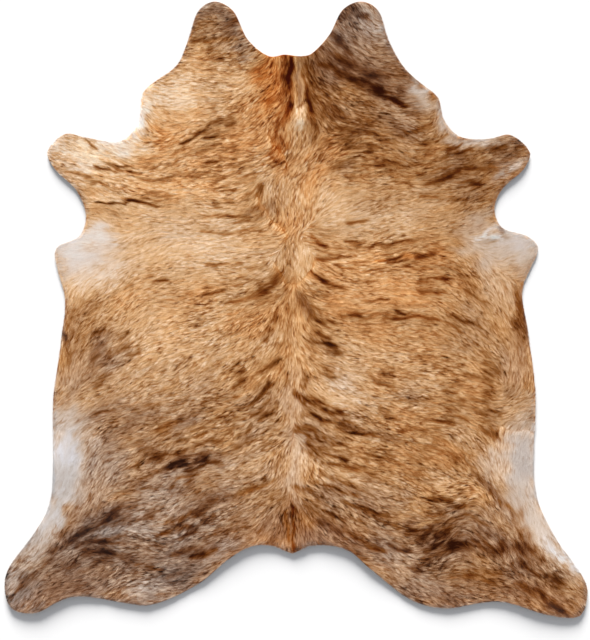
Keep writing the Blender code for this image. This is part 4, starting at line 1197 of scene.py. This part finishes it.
def stain(tree, x, y, tone, grey):
    """The coat's colour from its tone and greyness."""
    found = stain_ramp(tree, x, y, tone, 0.0)
    for k, full in enumerate((-GREYEST, GREYEST)):
        ramp = stain_ramp(tree, x, y - 260 * (k + 1), tone, full)
        share = maths(tree, "DIVIDE", x, y + 200 * (k + 1), grey, full, clamp=True)
        mix = node(tree, "ShaderNodeMix", x + 320 * (k + 1), y, data_type="RGBA")
        tree.links.new(share, mix.inputs["Factor"])
        tree.links.new(found, mix.inputs["A"])
        tree.links.new(ramp, mix.inputs["B"])
        found = mix.outputs["Result"]
    return found


def attribute(tree, x, y, name):
    return node(tree, "ShaderNodeAttribute", x, y, attribute_name=name).outputs["Fac"]


def hair_material():
    mat, tree, shader = start_material("brindle_hair")
    tone, grey = attribute(tree, -1400, 300, "tone"), attribute(tree, -1400, 0, "grey")
    strand, along = attribute(tree, -1400, -200, "strand"), attribute(tree, -1400, -400, "along")
    # Each hair is its own tone, and grows lighter from root to tip: painted shade at the root, under the hairs lying
    # over it, and bleaching at the tip.
    tone = maths(tree, "ADD", -1200, 200, strand, tone)
    tone = maths(tree, "MULTIPLY_ADD", -1000, 200, along, 0.05, tone)
    tone = maths(tree, "ADD", -800, 200, tone, TONE_OFFSET)
    fleck = noise_texture(tree, -1200, -600, 900.0, 2.0)
    tone = maths(tree, "MULTIPLY_ADD", -600, 200, fleck, 0.06, tone)
    colour = stain(tree, -400, 100, tone, grey)
    tree.links.new(colour, shader.inputs["Base Color"])
    rough = maths(tree, "MULTIPLY_ADD", -200, -300, strand, 0.40, 0.80)
    tree.links.new(rough, shader.inputs["Roughness"])
    shader.inputs["Specular IOR Level"].default_value = 0.02
    return mat


TONE_OFFSET = -0.035


def bed_material():
    mat, tree, shader = start_material("fur_bed")
    tone, grey = attribute(tree, -1400, 300, "tone"), attribute(tree, -1400, 0, "grey")
    fine = noise_texture(tree, -1200, -300, 420.0, 4.0, 0.7)
    tone = maths(tree, "MULTIPLY_ADD", -1000, 200, fine, 0.16, tone)
    # The bed under the hairs is drawn darker than they are: painted shade of the coat lying over it.
    tone = maths(tree, "ADD", -800, 200, tone, -0.15)
    colour = stain(tree, -400, 100, tone, grey)
    tree.links.new(colour, shader.inputs["Base Color"])
    rough = maths(tree, "MULTIPLY_ADD", -200, -300, fine, 0.2, 0.75)
    tree.links.new(rough, shader.inputs["Roughness"])
    bump = node(tree, "ShaderNodeBump", -200, -500)
    bump.inputs["Strength"].default_value = 0.6
    bump.inputs["Distance"].default_value = 0.001
    tree.links.new(fine, bump.inputs["Height"])
    tree.links.new(bump.outputs[0], shader.inputs["Normal"])
    shader.inputs["Specular IOR Level"].default_value = 0.02
    return mat


def suede_material():
    mat, tree, shader = start_material("suede_flesh_side")
    cloudy = noise_texture(tree, -1200, 300, 7.0, 5.0, 0.6)
    nap = noise_texture(tree, -1200, 0, 260.0, 5.0, 0.75, (1.0, 0.45, 1.0))
    mixed = maths(tree, "MULTIPLY_ADD", -900, 200, nap, 0.45, cloudy)
    ramp = node(tree, "ShaderNodeValToRGB", -600, 200)
    band = ramp.color_ramp
    for position, colour in ((0.35, (148, 126, 106)), (0.75, (196, 178, 158)), (1.0, (214, 200, 184))):
        element = band.elements[0] if position == 0.35 else band.elements.new(position)
        element.position = position
        element.color = tuple(linear(c) for c in colour) + (1.0,)
    tree.links.new(mixed, ramp.inputs[0])
    tree.links.new(ramp.outputs[0], shader.inputs["Base Color"])
    rough = maths(tree, "MULTIPLY_ADD", -300, -200, nap, 0.15, 0.80)
    tree.links.new(rough, shader.inputs["Roughness"])
    bump = node(tree, "ShaderNodeBump", -300, -400)
    bump.inputs["Strength"].default_value = 0.5
    bump.inputs["Distance"].default_value = 0.0006
    tree.links.new(nap, bump.inputs["Height"])
    tree.links.new(bump.outputs[0], shader.inputs["Normal"])
    shader.inputs["Specular IOR Level"].default_value = 0.15
    shader.inputs["Sheen Weight"].default_value = 0.25
    return mat


def edge_material():
    mat, tree, shader = start_material("cut_edge")
    layers = noise_texture(tree, -1200, 200, 500.0, 3.0, 0.6, (0.3, 0.3, 3.0))
    ramp = node(tree, "ShaderNodeValToRGB", -600, 200)
    band = ramp.color_ramp
    band.elements[0].position, band.elements[1].position = 0.3, 0.7
    band.elements[0].color = tuple(linear(c) for c in (176, 146, 116)) + (1.0,)
    band.elements[1].color = tuple(linear(c) for c in (214, 192, 166)) + (1.0,)
    tree.links.new(layers, ramp.inputs[0])
    tree.links.new(ramp.outputs[0], shader.inputs["Base Color"])
    rough = maths(tree, "MULTIPLY_ADD", -300, -200, layers, 0.2, 0.65)
    tree.links.new(rough, shader.inputs["Roughness"])
    bump = node(tree, "ShaderNodeBump", -300, -400)
    bump.inputs["Strength"].default_value = 0.4
    bump.inputs["Distance"].default_value = 0.0003
    tree.links.new(layers, bump.inputs["Height"])
    tree.links.new(bump.outputs[0], shader.inputs["Normal"])
    return mat


# ------------------------------------------------------------ stage and camera
def make_stage():
    bpy.ops.mesh.primitive_plane_add(size=60.0, location=(0, 0, -0.0004))
    floor = bpy.context.object
    floor.name = "floor"
    mat, tree, shader = start_material("white_floor")
    shader.inputs["Base Color"].default_value = (0.75, 0.75, 0.75, 1)
    shader.inputs["Roughness"].default_value = 1.0
    shader.inputs["Specular IOR Level"].default_value = 0.0
    floor.data.materials.append(mat)


def make_lights():
    world = bpy.data.worlds.new("studio")
    world.use_nodes = True
    back = world.node_tree.nodes["Background"]
    back.inputs["Color"].default_value = (0.93, 0.95, 1.0, 1)
    back.inputs["Strength"].default_value = DOME
    bpy.context.scene.world = world
    sun = bpy.data.lights.new("key", "SUN")
    sun.energy = KEY
    sun.angle = math.radians(30)
    sun.color = (1.0, 0.985, 0.965)
    ob = bpy.data.objects.new("key", sun)
    # From the head end, low over the floor: the light travels along -Z of the lamp.
    ob.rotation_euler = (math.radians(-(90 - KEY_RISE)), 0, math.radians(4))
    bpy.context.scene.collection.objects.link(ob)


RIM_SHADE = 0.5
DOME, KEY, KEY_RISE = 0.47, 9.0, 19.5


def make_camera():
    data = bpy.data.cameras.new("camera")
    data.sensor_width = 36.0
    data.lens = 126.0
    data.clip_end = 60.0
    ob = bpy.data.objects.new("camera", data)
    ob.location = (-0.0038, -0.0373, 8.0)
    bpy.context.scene.collection.objects.link(ob)
    bpy.context.scene.camera = ob


def main():
    make_stage()
    make_lights()
    make_camera()
    hide = Hide()
    skin, area = make_skin(hide)
    coat = make_coat(hide, area)
    for mat in (bed_material(), suede_material(), edge_material()):
        skin.data.materials.append(mat)
    hair = hair_material()
    for piece in coat:
        piece.data.materials.append(hair)
    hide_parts("hide")
    scene = bpy.context.scene
    scene.view_settings.view_transform = "Standard"
    scene.view_settings.look = "None"
    bpy.context.view_layer.update()


main()
